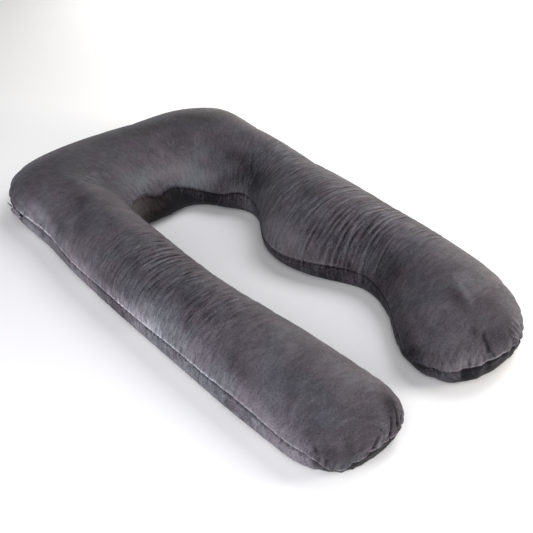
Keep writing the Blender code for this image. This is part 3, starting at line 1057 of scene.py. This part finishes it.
class Shader:
    """A new node material, and short ways to add the nodes that the finishes share."""

    def __init__(self, name: str) -> None:
        """Make the material with its Principled shader."""
        self.material = bpy.data.materials.new(name)
        self.material.use_nodes = True
        self.tree = self.material.node_tree

    def feed(self, socket: Socket, value: object) -> None:
        """Give an input a value, or link an output to it."""
        if isinstance(value, Socket):
            self.tree.links.new(value, socket)
        else:
            socket.default_value = value

    def add(self, kind: str, output: str | int, inputs: dict, **settings: object) -> Socket:
        """Add a shader node.

        Args:
            kind: The node's type name, without ShaderNode.
            output: The name or number of the output that is wanted.
            inputs: Values or output sockets for its inputs, by name or number.
            settings: Values for the node's own properties.

        Returns:
            The socket of that output.
        """
        node = self.tree.nodes.new("ShaderNode" + kind)
        for name, value in settings.items():
            setattr(node, name, value)
        for name, value in inputs.items():
            self.feed(node.inputs[name], value)
        return node.outputs[output]

    def place(self) -> Socket:
        """Return the object's own coordinates."""
        return self.add("TexCoord", "Object", {})

    def painted(self, name: str) -> Socket:
        """Return a number that the mesh keeps at its points."""
        return self.add("Attribute", "Fac", {}, attribute_name=name)

    def product(self, *factors: object, clamp: bool = False) -> Socket:
        """Return the product of two values."""
        inputs = dict(enumerate(factors))
        return self.add("Math", "Value", inputs, operation="MULTIPLY", use_clamp=clamp)

    def plus(self, total: object, source: object, weight: float) -> Socket:
        """Return a sum with one more value in it, by its weight."""
        inputs = {0: source, 1: weight, 2: total}
        return self.add("Math", "Value", inputs, operation="MULTIPLY_ADD")

    def weigh(self, start: float, *parts: tuple) -> Socket:
        """Add patterns together.

        Args:
            start: The sum where every pattern is at its middle of one half.
            parts: Pairs of a pattern's socket and its weight.

        Returns:
            The socket of the sum.
        """
        total = start - sum(weight for _, weight in parts) / 2
        for source, weight in parts:
            total = self.plus(total, source, weight)
        return total

    def mix(self, factor: object, below: object, above: object, blend: str = "MIX") -> Socket:
        """Return one colour laid over another."""
        inputs = {0: factor, 6: below, 7: above}
        return self.add("Mix", 2, inputs, data_type="RGBA", blend_type=blend)

    def ramp(self, factor: Socket, *stops: tuple[float, str]) -> Socket:
        """Return the colour of a ramp with the given positions and hex colours."""
        colour = self.add("ValToRGB", "Color", {"Fac": factor})
        elements = colour.node.color_ramp.elements
        for element, (position, code) in zip(elements, (stops[0], stops[-1])):
            element.position = position
            element.color = srgb(code)
        for position, code in stops[1:-1]:
            elements.new(position).color = srgb(code)
        return colour

    def bump(self, strength: float, *layers: tuple) -> Socket:
        """Return the normal that layers of relief give, each a height's socket and its depth."""
        below = {}
        for height, depth in layers:
            inputs = {"Height": height, "Distance": depth, "Strength": strength, **below}
            below = {"Normal": self.add("Bump", "Normal", inputs)}
        return below["Normal"]

    def finished(self, inputs: dict) -> Material:
        """Set or link the surface's inputs and return the material."""
        surface = self.tree.nodes["Principled BSDF"]
        for name, value in inputs.items():
            self.feed(surface.inputs[name], value)
        return self.material


@dataclass(frozen=True)
class Pattern:
    """A cloudy pattern of patches; a stretched one follows the cloth, drawn out across it."""

    size_mm: float
    detail: float
    stretch: float = 0.0


@dataclass(frozen=True)
class PlushVelvet:
    """Knitted polyester velvet, cropped and brushed.

    The short pile scatters light at grazing angles and looks dark where it is seen end on; strokes
    of the hand leave it lying in lighter and darker patches. Light and shade are painted into its
    colour too: on the shoulders and furrows of the crinkles, in the folds, on the lower panel, in
    patches, as a highlight along the seam and as an olive bounce light on the wall of the head's bay.
    """

    name: str = "plush_polyester_velvet"
    dark: str = "1c1a1e"
    middle: str = "464247"
    light: str = "6b696d"
    painted_highlight: str = "a19ea3"
    plum: str = "fff9fd"
    slate: str = "f6feff"
    bounce_olive: str = "fffae2"
    cloud_roughness: float = 0.6
    cloud_distortion: float = 0.5
    pile: Pattern = Pattern(3.2, 1.0)
    stroke: Pattern = Pattern(11.0, 4.0, 2.5)
    streak: Pattern = Pattern(6.5, 2.0, 7.0)
    wisp: Pattern = Pattern(5.0, 2.0, 6.0)
    swirl: Pattern = Pattern(75.0, 4.0)
    tint: Pattern = Pattern(110.0, 2.0)
    swirl_weight: float = 0.45
    stroke_weight: float = 0.55
    nap_and_shade_weight: float = 0.5
    crinkle_shade_weight: float = 0.68
    crease_shade_weight: float = -0.34
    lower_panel_shade_weight: float = -0.22
    tone_stops: tuple[float, ...] = (0.15, 0.5, 0.9)
    tint_stops: tuple[float, ...] = (0.40, 0.60)
    highlight_weights: tuple[float, ...] = (3.4, 1.2, 0.6)
    highlight_start: float = 0.90
    relief: tuple[float, ...] = (0.0030, 0.0012, 0.0005)
    bump: float = 0.7
    roughness: float = 0.9
    specular: float = 0.06
    sheen: float = 0.075
    sheen_roughness: float = 0.5

    def noise(self, shader: Shader, pattern: Pattern, place: Socket) -> Socket:
        """Return the socket of a pattern on the given coordinates."""
        if pattern.stretch:
            scale = (1 / pattern.stretch, 1.0, 1.0)
            place = shader.add("Mapping", "Vector", {"Vector": place, "Scale": scale})
        inputs = {"Vector": place, "Scale": 1000 / pattern.size_mm, "Detail": pattern.detail}
        inputs |= {"Roughness": self.cloud_roughness, "Distortion": self.cloud_distortion}
        return shader.add("TexNoise", "Fac", inputs)

    def material(self) -> Material:
        """Build the shader: swirls, strokes, crinkles and pile in both colour and relief, with
        painted light and shade.
        """
        shader = Shader(self.name)
        place = shader.place()
        cloth = shader.add("UVMap", "UV", {}, uv_map="cloth")
        swirl, pile, tint, stroke, streak, wisp = (
            self.noise(shader, pattern, cloth if pattern.stretch else place)
            for pattern in (self.swirl, self.pile, self.tint, self.stroke, self.streak, self.wisp)
        )
        # the tone of the pile: its mottle, with painted light and shade in patches, on the crinkles,
        # in the folds and on the lower panel
        crinkle_relief_and_shade = shader.product(shader.weigh(0.0, (streak, 1.0)), shader.painted("crinkled"))
        strokes = shader.weigh(0.0, (stroke, self.stroke_weight), (pile, self.stroke_weight))
        tone = shader.weigh(0.5, (swirl, self.swirl_weight))
        for pattern, weight in (
            (shader.product(strokes, shader.painted("lively")), 1.0),
            # patches of the nap, with painted light and shade among them
            (shader.painted("nap_and_shade"), self.nap_and_shade_weight),
            # painted light and shade of the fine crinkles
            (crinkle_relief_and_shade, self.crinkle_shade_weight),
            # painted shade in the hollows of folds, painted light on their ridges
            (shader.painted("hollow"), self.crease_shade_weight),
            # painted shade on the lower panel, painted light where it is paler
            (shader.painted("under"), self.lower_panel_shade_weight),
        ):
            tone = shader.plus(tone, pattern, weight)
        greys = zip(self.tone_stops, (self.dark, self.middle, self.light))
        colour = shader.ramp(tone, *greys)
        # painted highlight: pale sheen along the seam's lip and on the pile above it, in wisps
        wisps = shader.weigh(self.highlight_start, *zip((wisp, stroke, pile), self.highlight_weights))
        highlight_amount = shader.product(shader.painted("painted_highlight"), wisps, clamp=True)
        colour = shader.mix(highlight_amount, colour, srgb(self.painted_highlight))
        # broad tints of plum and slate, and a painted olive bounce light on the wall of the head's
        # bay
        tints = shader.ramp(tint, *zip(self.tint_stops, (self.slate, self.plum)))
        colour = shader.mix(1.0, colour, tints, "MULTIPLY")
        colour = shader.mix(shader.painted("painted_bounce"), colour, srgb(self.bounce_olive), "MULTIPLY")
        depths = zip((crinkle_relief_and_shade, stroke, pile), self.relief)
        return shader.finished(
            {
                "Base Color": colour,
                "Roughness": self.roughness,
                "Specular IOR Level": self.specular,
                "Sheen Weight": self.sheen,
                "Sheen Roughness": self.sheen_roughness,
                "Normal": shader.bump(self.bump, *depths),
            }
        )


@dataclass(frozen=True)
class FoldedFacing:
    """The velvet's paler knitted back, which shows where the facing is folded over."""

    name: str = "knitted_velvet_back"
    dark: str = "1f1d21"
    light: str = "7a767c"
    loop_mm: float = 1.6
    loop_weight: float = 0.4
    mottle_mm: float = 6.25
    mottle_detail: float = 3.0
    mottle_weight: float = 1.2
    tone: float = 0.8
    fold_shade_weight: float = -0.8
    roughness: float = 0.85
    specular: float = 0.1
    sheen: float = 0.06
    loop_depth: float = 0.0004
    bump: float = 0.6

    def material(self) -> Material:
        """Build the shader: small knitted loops over a soft mottle, with painted shade in the fold.
        """
        shader = Shader(self.name)
        place = shader.place()
        loops = shader.add(
            "TexVoronoi", "Distance", {"Vector": place, "Scale": 1000 / self.loop_mm}
        )
        inputs = {"Vector": place, "Scale": 1000 / self.mottle_mm, "Detail": self.mottle_detail}
        mottle = shader.add("TexNoise", "Fac", inputs)
        tone = shader.weigh(self.tone, (mottle, self.mottle_weight), (loops, self.loop_weight))
        # painted shade in the fold
        tone = shader.plus(tone, shader.painted("folded"), self.fold_shade_weight)
        return shader.finished(
            {
                "Base Color": shader.ramp(tone, (0.0, self.dark), (1.0, self.light)),
                "Roughness": self.roughness,
                "Specular IOR Level": self.specular,
                "Sheen Weight": self.sheen,
                "Normal": shader.bump(self.bump, (loops, self.loop_depth)),
            }
        )


@dataclass(frozen=True)
class WovenTape:
    """Polyester zip tape, woven in a close herringbone: dark, dry and finely ribbed."""

    name: str = "woven_polyester_zip_tape"
    dark: str = "26242a"
    light: str = "4a474e"
    rib_mm: float = 0.9
    waves_per_unit: float = 6.28
    waver: float = 0.6
    roughness: float = 0.75
    rib_depth: float = 0.0003
    bump: float = 0.6

    def material(self) -> Material:
        """Build the shader: ribs that run along the tape."""
        shader = Shader(self.name)
        scale = 1000 / self.rib_mm / self.waves_per_unit
        inputs = {"Vector": shader.place(), "Scale": scale, "Distortion": self.waver}
        ribs = shader.add("TexWave", "Fac", inputs, wave_type="BANDS", bands_direction="Z")
        return shader.finished(
            {
                "Base Color": shader.ramp(ribs, (0.0, self.dark), (1.0, self.light)),
                "Roughness": self.roughness,
                "Normal": shader.bump(self.bump, (ribs, self.rib_depth)),
            }
        )


@dataclass(frozen=True)
class PaleFloor:
    """Matt pale board that the pillow lies on."""

    name: str = "matt_pale_board"
    colour: str = "f4f4f4"
    roughness: float = 0.85

    def material(self) -> Material:
        """Build the plain shader."""
        plain = {"Base Color": srgb(self.colour), "Roughness": self.roughness}
        return Shader(self.name).finished(plain)


# ---------------------------------------------------------------------------------------------
# Pieces
# ---------------------------------------------------------------------------------------------


def soften(grid: np.ndarray, passes: int) -> np.ndarray:
    """Return a grid of numbers smoothed along its rows and columns."""
    for _ in range(passes):
        edged = np.pad(grid, 1, mode="edge")
        beside = edged[:-2, 1:-1] + edged[2:, 1:-1] + edged[1:-1, :-2] + edged[1:-1, 2:]
        grid = 0.5 * grid + beside / 8
    return grid


def read(items: bpy.types.bpy_prop_collection, name: str, width: int = 1) -> np.ndarray:
    """Return one property of a mesh's items, as one number or one row of numbers for each."""
    values = np.zeros(len(items) * width)
    items.foreach_get(name, values)
    return values.reshape(-1, width) if width > 1 else values


def wrapped(points: np.ndarray) -> tuple[BMesh, list[tuple[int, int]]]:
    """Span faces between rows of points.

    Args:
        points: A grid of points, whose first and last columns meet.

    Returns:
        The mesh, not yet joined where its edges meet, and each vertex's row and column.
    """
    rows, columns = points.shape[0] - 1, points.shape[1] - 1
    mesh = bmesh.new()
    bmesh.ops.create_grid(mesh, x_segments=columns, y_segments=rows, size=0.5, calc_uvs=False)
    places = []
    for vert in mesh.verts:
        places.append((round((vert.co.y + 0.5) * rows), round((vert.co.x + 0.5) * columns)))
        vert.co = points[places[-1]]
    return mesh, places


def link(name: str, data: bpy.types.ID) -> Object:
    """Put a mesh, light or camera into the scene as an object."""
    made = bpy.data.objects.new(name, data)
    bpy.context.scene.collection.objects.link(made)
    return made


def to_object(name: str, mesh: BMesh) -> Object:
    """Turn a bmesh into an object of the scene and free it."""
    data = bpy.data.meshes.new(name)
    mesh.to_mesh(data)
    mesh.free()
    return link(name, data)


def closed_object(name: str, mesh: BMesh, gap: float = 0.0) -> Object:
    """Join what lies closer than a gap, turn the faces out and make the object."""
    if gap:
        bmesh.ops.remove_doubles(mesh, verts=mesh.verts, dist=gap)
    bmesh.ops.recalc_face_normals(mesh, faces=mesh.faces)
    return to_object(name, mesh)


def finish_piece(made: Object, material: Material) -> None:
    """Shade a piece smoothly in its one finish and report it."""
    made.data.shade_smooth()
    made.data.materials.append(material)
    LOG.info("%s: %d faces", made.name, len(made.data.polygons))


@dataclass
class Settling:
    """A short cloth simulation in which the filling presses the cover out against its seam.

    It runs on a coarser lattice of the same form. The cover takes over the folds that the cloth
    throws up, and a little of its swelling, each up to a greatest depth.
    """

    coarseness: float = 2.6
    pressure: float = 4.0
    growth: float = 0.02
    frames: int = 20
    resting: float = 0.0006
    held_near_seam: float = 0.004
    seam_hold: float = 0.7
    join: float = 1e-5
    most_fold: float = 0.0024
    most_swell: float = 0.0008
    swell_passes: int = 60
    finish_passes: int = 5

    def cloth(self, form: PillowForm, points: np.ndarray) -> Object:
        """Make the coarse cover, held where it rests and along its seam."""
        mesh, _ = wrapped(points)
        made = closed_object("settling", mesh, self.join)
        held = made.vertex_groups.new(name="held")
        for vert in made.data.vertices:
            if vert.co.z < self.resting:
                held.add([vert.index], 1.0, "REPLACE")
            elif abs(vert.co.z - form.seam_height) < self.held_near_seam:
                held.add([vert.index], self.seam_hold, "REPLACE")
        return made

    def simulate(self, made: Object) -> np.ndarray:
        """Run the cloth and return how far each of its points moves out."""
        cloth = made.modifiers.new("cloth", "CLOTH")
        cloth.settings.vertex_group_mass = "held"
        cloth.settings.use_pressure = True
        cloth.settings.uniform_pressure_force = self.pressure
        cloth.settings.effector_weights.gravity = 0.0
        cloth.settings.shrink_min = -self.growth
        cloth.point_cache.frame_end = self.frames
        for frame_number in range(1, self.frames + 1):
            bpy.context.scene.frame_set(frame_number)
        shaped = made.evaluated_get(bpy.context.evaluated_depsgraph_get()).to_mesh()
        move = read(shaped.vertices, "co", 3) - read(made.data.vertices, "co", 3)
        normals = read(made.data.vertices, "normal", 3)
        bpy.context.scene.frame_set(1)
        return (move * normals).sum(axis=1)

    def moves(self, form: PillowForm) -> np.ndarray:
        """Return how far out the cover moves at each point of its own lattice."""
        points = form.surface(form.stations(self.coarseness), form.turns(self.coarseness))
        made = self.cloth(form, points)
        out = self.simulate(made)
        data = made.data
        tree = KDTree(len(out))
        for vert in data.vertices:
            tree.insert(vert.co, vert.index)
        tree.balance()
        bpy.data.objects.remove(made)
        bpy.data.meshes.remove(data)
        grid = np.array([[out[tree.find(point)[1]] for point in row] for row in points])
        swell = soften(grid, self.swell_passes)
        grid = self.most_fold * np.tanh((grid - swell) / self.most_fold)
        grid += self.most_swell * np.tanh(swell / self.most_swell)
        return soften(form.refine(grid, self.coarseness), self.finish_passes)


@dataclass
class VelvetCover:
    """The filled pillow in its sewn velvet cover."""

    form: PillowForm
    finish: PlushVelvet = PlushVelvet()
    settling: Settling = field(default_factory=Settling)
    node: str = "pillow"
    nap_bow: float = 0.010
    settled_from: float = 0.4
    crinkled_share: float = 0.9
    resting: float = 0.0005
    least_width: float = 1e-6
    join: float = 1e-6
    origin: np.ndarray = field(init=False)

    def shift(self, points: np.ndarray) -> np.ndarray:
        """Return where the frame has the pattern's origin."""
        low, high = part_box(self.node)
        middle = (points.min(axis=(0, 1)) + points.max(axis=(0, 1))) / 2
        shift = np.array(((low + high) / 2)[:]) - middle
        shift[2] = 0.0
        return shift

    def lattice(self) -> Object:
        """Sweep the cover as a grid that is wrapped round the sections and closed at its seam."""
        form = self.form
        stations = form.stations()
        points = form.surface(stations, form.turns())
        self.origin = self.shift(points)
        points += self.origin
        girth = np.zeros(points.shape[0:2])
        girth[:, 1:] = np.cumsum(np.linalg.norm(np.diff(points, axis=1), axis=2), axis=1)
        spine = (stations[:, 0:2] + stations[:, 2:4]) / 2
        along = np.concatenate([[0.0], np.cumsum(np.linalg.norm(np.diff(spine, axis=0), axis=1))])
        outer, inner = points[:, 0:1, 0:2], points[:, form.top_steps : form.top_steps + 1, 0:2]
        width = np.maximum(np.linalg.norm(outer - inner, axis=2), self.least_width)
        across = 2 * np.linalg.norm(points[:, :, 0:2] - inner, axis=2) / width - 1
        settled = self.settling.moves(form)
        settled *= fade(stations[:, 5:6], self.settled_from)
        mesh, places = wrapped(points)
        cloth = mesh.loops.layers.uv.new("cloth")
        layers = [mesh.verts.layers.float.new(name) for name in ("across", "along", "settled")]
        for vert, (row, column) in zip(mesh.verts, places):
            here = across[row, column]
            for layer, value in zip(layers, (here, along[row], settled[row, column])):
                vert[layer] = value
            for loop in vert.link_loops:
                loop[cloth].uv = (girth[row, column], along[row] - self.nap_bow * here**2)
        return closed_object("pillow_cover", mesh, self.join)

    def dress(self, cover: Object) -> None:
        """Press the relief into the cover and paint what its finish reads."""
        mesh = cover.data
        spots, normals = read(mesh.vertices, "co", 3), read(mesh.vertices, "normal", 3)
        across, along, settled = (
            read(mesh.attributes[name].data, "value") for name in ("across", "along", "settled")
        )
        plan = spots - self.origin
        relief = Relief(self.form.seam_height)
        push, hollow = relief.push(plan, normals, across, along)
        push += settled
        push[spots[:, 2] < self.resting] = 0.0
        moved = spots + normals * push[:, None]
        moved[:, 2] = np.maximum(moved[:, 2], 0.0)
        mesh.vertices.foreach_set("co", moved.ravel())
        mesh.update()
        crinkled = self.crinkled(plan)
        painted = {
            # patches of the nap, with painted light and shade
            "nap_and_shade": sum(mark.patch(plan) for mark in NAP_AND_SHADE_MARKS),
            # painted shade in fold hollows and the seam's furrow, painted light on ridges
            "hollow": hollow,
            # painted highlight on the seam's lip and above it
            "painted_highlight": relief.painted_highlight(plan),
            "crinkled": crinkled,
            "lively": relief.lively(plan, crinkled),
            # painted shade on the lower panel, and painted light where it is paler
            "under": relief.under(plan),
            # painted olive bounce light on the wall of the head's bay
            "painted_bounce": relief.painted_bounce(plan),
        }
        for name, values in painted.items():
            mesh.attributes.new(name, "FLOAT", "POINT").data.foreach_set("value", values)

    def crinkled(self, plan: np.ndarray) -> np.ndarray:
        """Return how crinkled the cover is at each point, from 0 to 1."""
        amounts = [mark.patch(plan) for mark in CRINKLED_RIM]
        for band in CRINKLE_BANDS:
            middle, half = (band.y_low + band.y_high) / 2, (band.y_high - band.y_low) / 2
            amount = bell(plan[:, 1] - middle, self.crinkled_share * half)
            amounts.append(band.on_arm(plan[:, 0]) * amount)
        return np.max(amounts, axis=0)

    def build(self) -> Object:
        """Make the cover, dress it and set it in the frame."""
        cover = self.lattice()
        self.dress(cover)
        # plush polyester velvet, the same cloth above and below the seam
        finish_piece(cover, self.finish.material())
        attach(cover, "root")
        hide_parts(self.node)
        return cover


def quarter_turn(mesh: BMesh, axis: str) -> None:
    """Turn a bmesh by 90 degrees about an axis through the origin."""
    turn = Matrix.Rotation(math.pi / 2, 3, axis)
    bmesh.ops.rotate(mesh, verts=mesh.verts, cent=Vector((0.0, 0.0, 0.0)), matrix=turn)


@dataclass
class ZipFacing:
    """The end of the zip's facing: velvet folded over itself, a soft lobe under the seam."""

    finish: FoldedFacing = FoldedFacing()
    node: str = "zip_facing"
    steps_round: int = 64
    steps_along: int = 40
    fold_depth: float = 0.0022
    fold_half_width: float = 0.0015
    fold_height: float = 0.0045
    fold_sway: float = 0.0012
    fold_turn: float = 3.2
    fold_phase: float = 0.6
    ripple: float = 0.0005
    ripples_along: float = 52.0
    ripples_up: float = 260.0
    end_power: int = 4

    def build(self) -> Object:
        """Shape the lobe in its node's box and press the fold into it."""
        low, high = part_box(self.node)
        size, middle = high - low, (low + high) / 2
        mesh = bmesh.new()
        bmesh.ops.create_uvsphere(
            mesh, u_segments=self.steps_round, v_segments=self.steps_along, radius=0.5
        )
        quarter_turn(mesh, "X")
        bmesh.ops.scale(mesh, verts=mesh.verts, vec=size)
        mesh.normal_update()
        folded = mesh.verts.layers.float.new("folded")
        moves = []
        for vert in mesh.verts:
            share = vert.co.y / size.y
            turn = self.fold_turn * share + self.fold_phase
            line = self.fold_height + self.fold_sway * math.sin(turn)
            # the fold's line: the groove follows it and the finish paints shade along it
            vert[folded] = math.exp(-(((vert.co.z - line) / self.fold_half_width) ** 2))
            groove = -self.fold_depth * vert[folded]
            wave = self.ripples_along * share + self.ripples_up * vert.co.z
            ripple = self.ripple * math.sin(wave)
            inside = max(0.0, 1 - (2 * share) ** self.end_power)
            moves.append(vert.normal * (groove + ripple) * inside)
        for vert, move in zip(mesh.verts, moves):
            vert.co += move
        bmesh.ops.translate(mesh, verts=mesh.verts, vec=middle)
        made = closed_object("zip_facing_fold", mesh)
        # the velvet's knitted back
        finish_piece(made, self.finish.material())
        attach(made, "root")
        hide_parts(self.node)
        return made


@dataclass
class ZipTape:
    """The cut end of the zip tape, a thin woven blade that stands up beside the head."""

    finish: WovenTape = WovenTape()
    node: str = "zip_tape_tip"
    thickness: float = 0.0009
    point: float = 0.18
    taper: float = 1.5
    cuts_across: int = 4
    cuts: int = 9
    curl: float = 0.0012

    def build(self) -> Object:
        """Cut the tape to its point, curl it a little and give it its thickness."""
        low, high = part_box(self.node)
        size, middle = high - low, (low + high) / 2
        mesh = bmesh.new()
        bmesh.ops.create_grid(mesh, x_segments=self.cuts_across, y_segments=self.cuts, size=0.5)
        quarter_turn(mesh, "Y")
        bmesh.ops.scale(mesh, verts=mesh.verts, vec=Vector((1.0, size.y, size.z)))
        for vert in mesh.verts:
            share = vert.co.y / size.y + 0.5
            narrow = 1 - (1 - self.point) * share**self.taper
            vert.co.z = vert.co.z * narrow + size.z / 2 * (1 - narrow)
            vert.co.x = -self.curl * share**2 + self.curl / 2
        bmesh.ops.solidify(mesh, geom=mesh.faces[:], thickness=self.thickness)
        bmesh.ops.translate(mesh, verts=mesh.verts, vec=middle)
        made = closed_object("zip_tape", mesh)
        # woven polyester tape
        finish_piece(made, self.finish.material())
        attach(made, "root")
        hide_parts(self.node)
        return made


# ---------------------------------------------------------------------------------------------
# Studio
# ---------------------------------------------------------------------------------------------


@dataclass(frozen=True)
class Panel:
    """A square soft light: where it hangs as seen from the pillow, its side and its power."""

    name: str
    azimuth: float
    elevation: float
    side: float
    watts: float
    tint: str


PANELS = (
    Panel("left_low", 270.0, 8.0, 0.9, 84.0, "fafaff"),
    Panel("front_right_low", 45.0, 8.0, 0.9, 77.0, "fff8ee"),
    Panel("right_low", 90.0, 8.0, 0.9, 61.0, "fff3de"),
    Panel("back_right_low", 135.0, 8.0, 0.9, 57.0, "fafaf7"),
    Panel("front_left", 315.0, 30.0, 1.6, 46.0, "fafaff"),
    Panel("right_high", 90.0, 60.0, 1.6, 44.0, "fafaff"),
    Panel("front_right", 45.0, 30.0, 1.6, 18.0, "ffffff"),
    Panel("front_left_high", 315.0, 60.0, 1.6, 16.0, "ffffff"),
)


def aim(made: Object, target: tuple, azimuth: float, elevation: float, away: float) -> None:
    """Place a camera or a light so that it faces a point.

    Args:
        made: The camera or light.
        target: The point.
        azimuth: Its direction from there in degrees, 0 for -Y and 90 for +X.
        elevation: How many degrees it stands above the point.
        away: How far it is from the point.
    """
    turn, rise = math.radians(azimuth), math.radians(elevation)
    back = Vector(
        (math.sin(turn) * math.cos(rise), -math.cos(turn) * math.cos(rise), math.sin(rise))
    )
    made.location = Vector(target) + back * away
    made.rotation_mode = "QUATERNION"
    made.rotation_quaternion = (-back).to_track_quat("-Z", "Y")


@dataclass
class Studio:
    """Floor, soft light and the camera at the photograph's place."""

    azimuth: float = -39.90
    elevation: float = 35.62
    distance: float = 2.097
    focal_px: float = 851.5
    target: tuple[float, float, float] = (-0.0446, -0.1418, 0.080)
    floor_side: float = 14.0
    floor_gap: float = 0.0005
    light_target: tuple[float, float, float] = (0.0, 0.0, 0.1)
    light_distance: float = 3.0
    sky: float = 0.032

    def camera(self) -> None:
        """Place the camera as the photograph's perspective gives it."""
        data = bpy.data.cameras.new("camera")
        data.lens = self.focal_px / PHOTO_SIDE * SENSOR_MM
        data.sensor_width = SENSOR_MM
        made = link("camera", data)
        aim(made, self.target, self.azimuth, self.elevation, self.distance)
        bpy.context.scene.camera = made

    def floor(self) -> None:
        """Lay the pale floor just under the pillow."""
        mesh = bmesh.new()
        bmesh.ops.create_grid(mesh, x_segments=1, y_segments=1, size=self.floor_side / 2)
        bmesh.ops.translate(mesh, verts=mesh.verts, vec=Vector((0.0, 0.0, -self.floor_gap)))
        made = to_object("floor", mesh)
        # matt pale board
        made.data.materials.append(PaleFloor().material())

    def light(self) -> None:
        """Stand the panels round the pillow and leave a little even light everywhere."""
        for panel in PANELS:
            data = bpy.data.lights.new(panel.name, "AREA")
            data.shape = "SQUARE"
            data.size = panel.side
            data.energy = panel.watts
            data.color = srgb(panel.tint)[:3]
            made = link(panel.name, data)
            aim(made, self.light_target, panel.azimuth, panel.elevation, self.light_distance)
        world = bpy.data.worlds.new("studio")
        world.use_nodes = True
        sky = world.node_tree.nodes["Background"]
        sky.inputs["Color"].default_value = (1.0, 1.0, 1.0, 1.0)
        sky.inputs["Strength"].default_value = self.sky
        bpy.context.scene.world = world
        bpy.context.scene.view_settings.view_transform = "Standard"

    def build(self) -> None:
        """Set up the camera, the floor and the light."""
        self.camera()
        self.floor()
        self.light()


def main() -> None:
    """Build every piece in order."""
    logging.basicConfig(level=logging.INFO, format="%(message)s")
    Studio().build()
    VelvetCover(PillowForm()).build()
    ZipFacing().build()
    ZipTape().build()


if __name__ == "__main__":
    main()
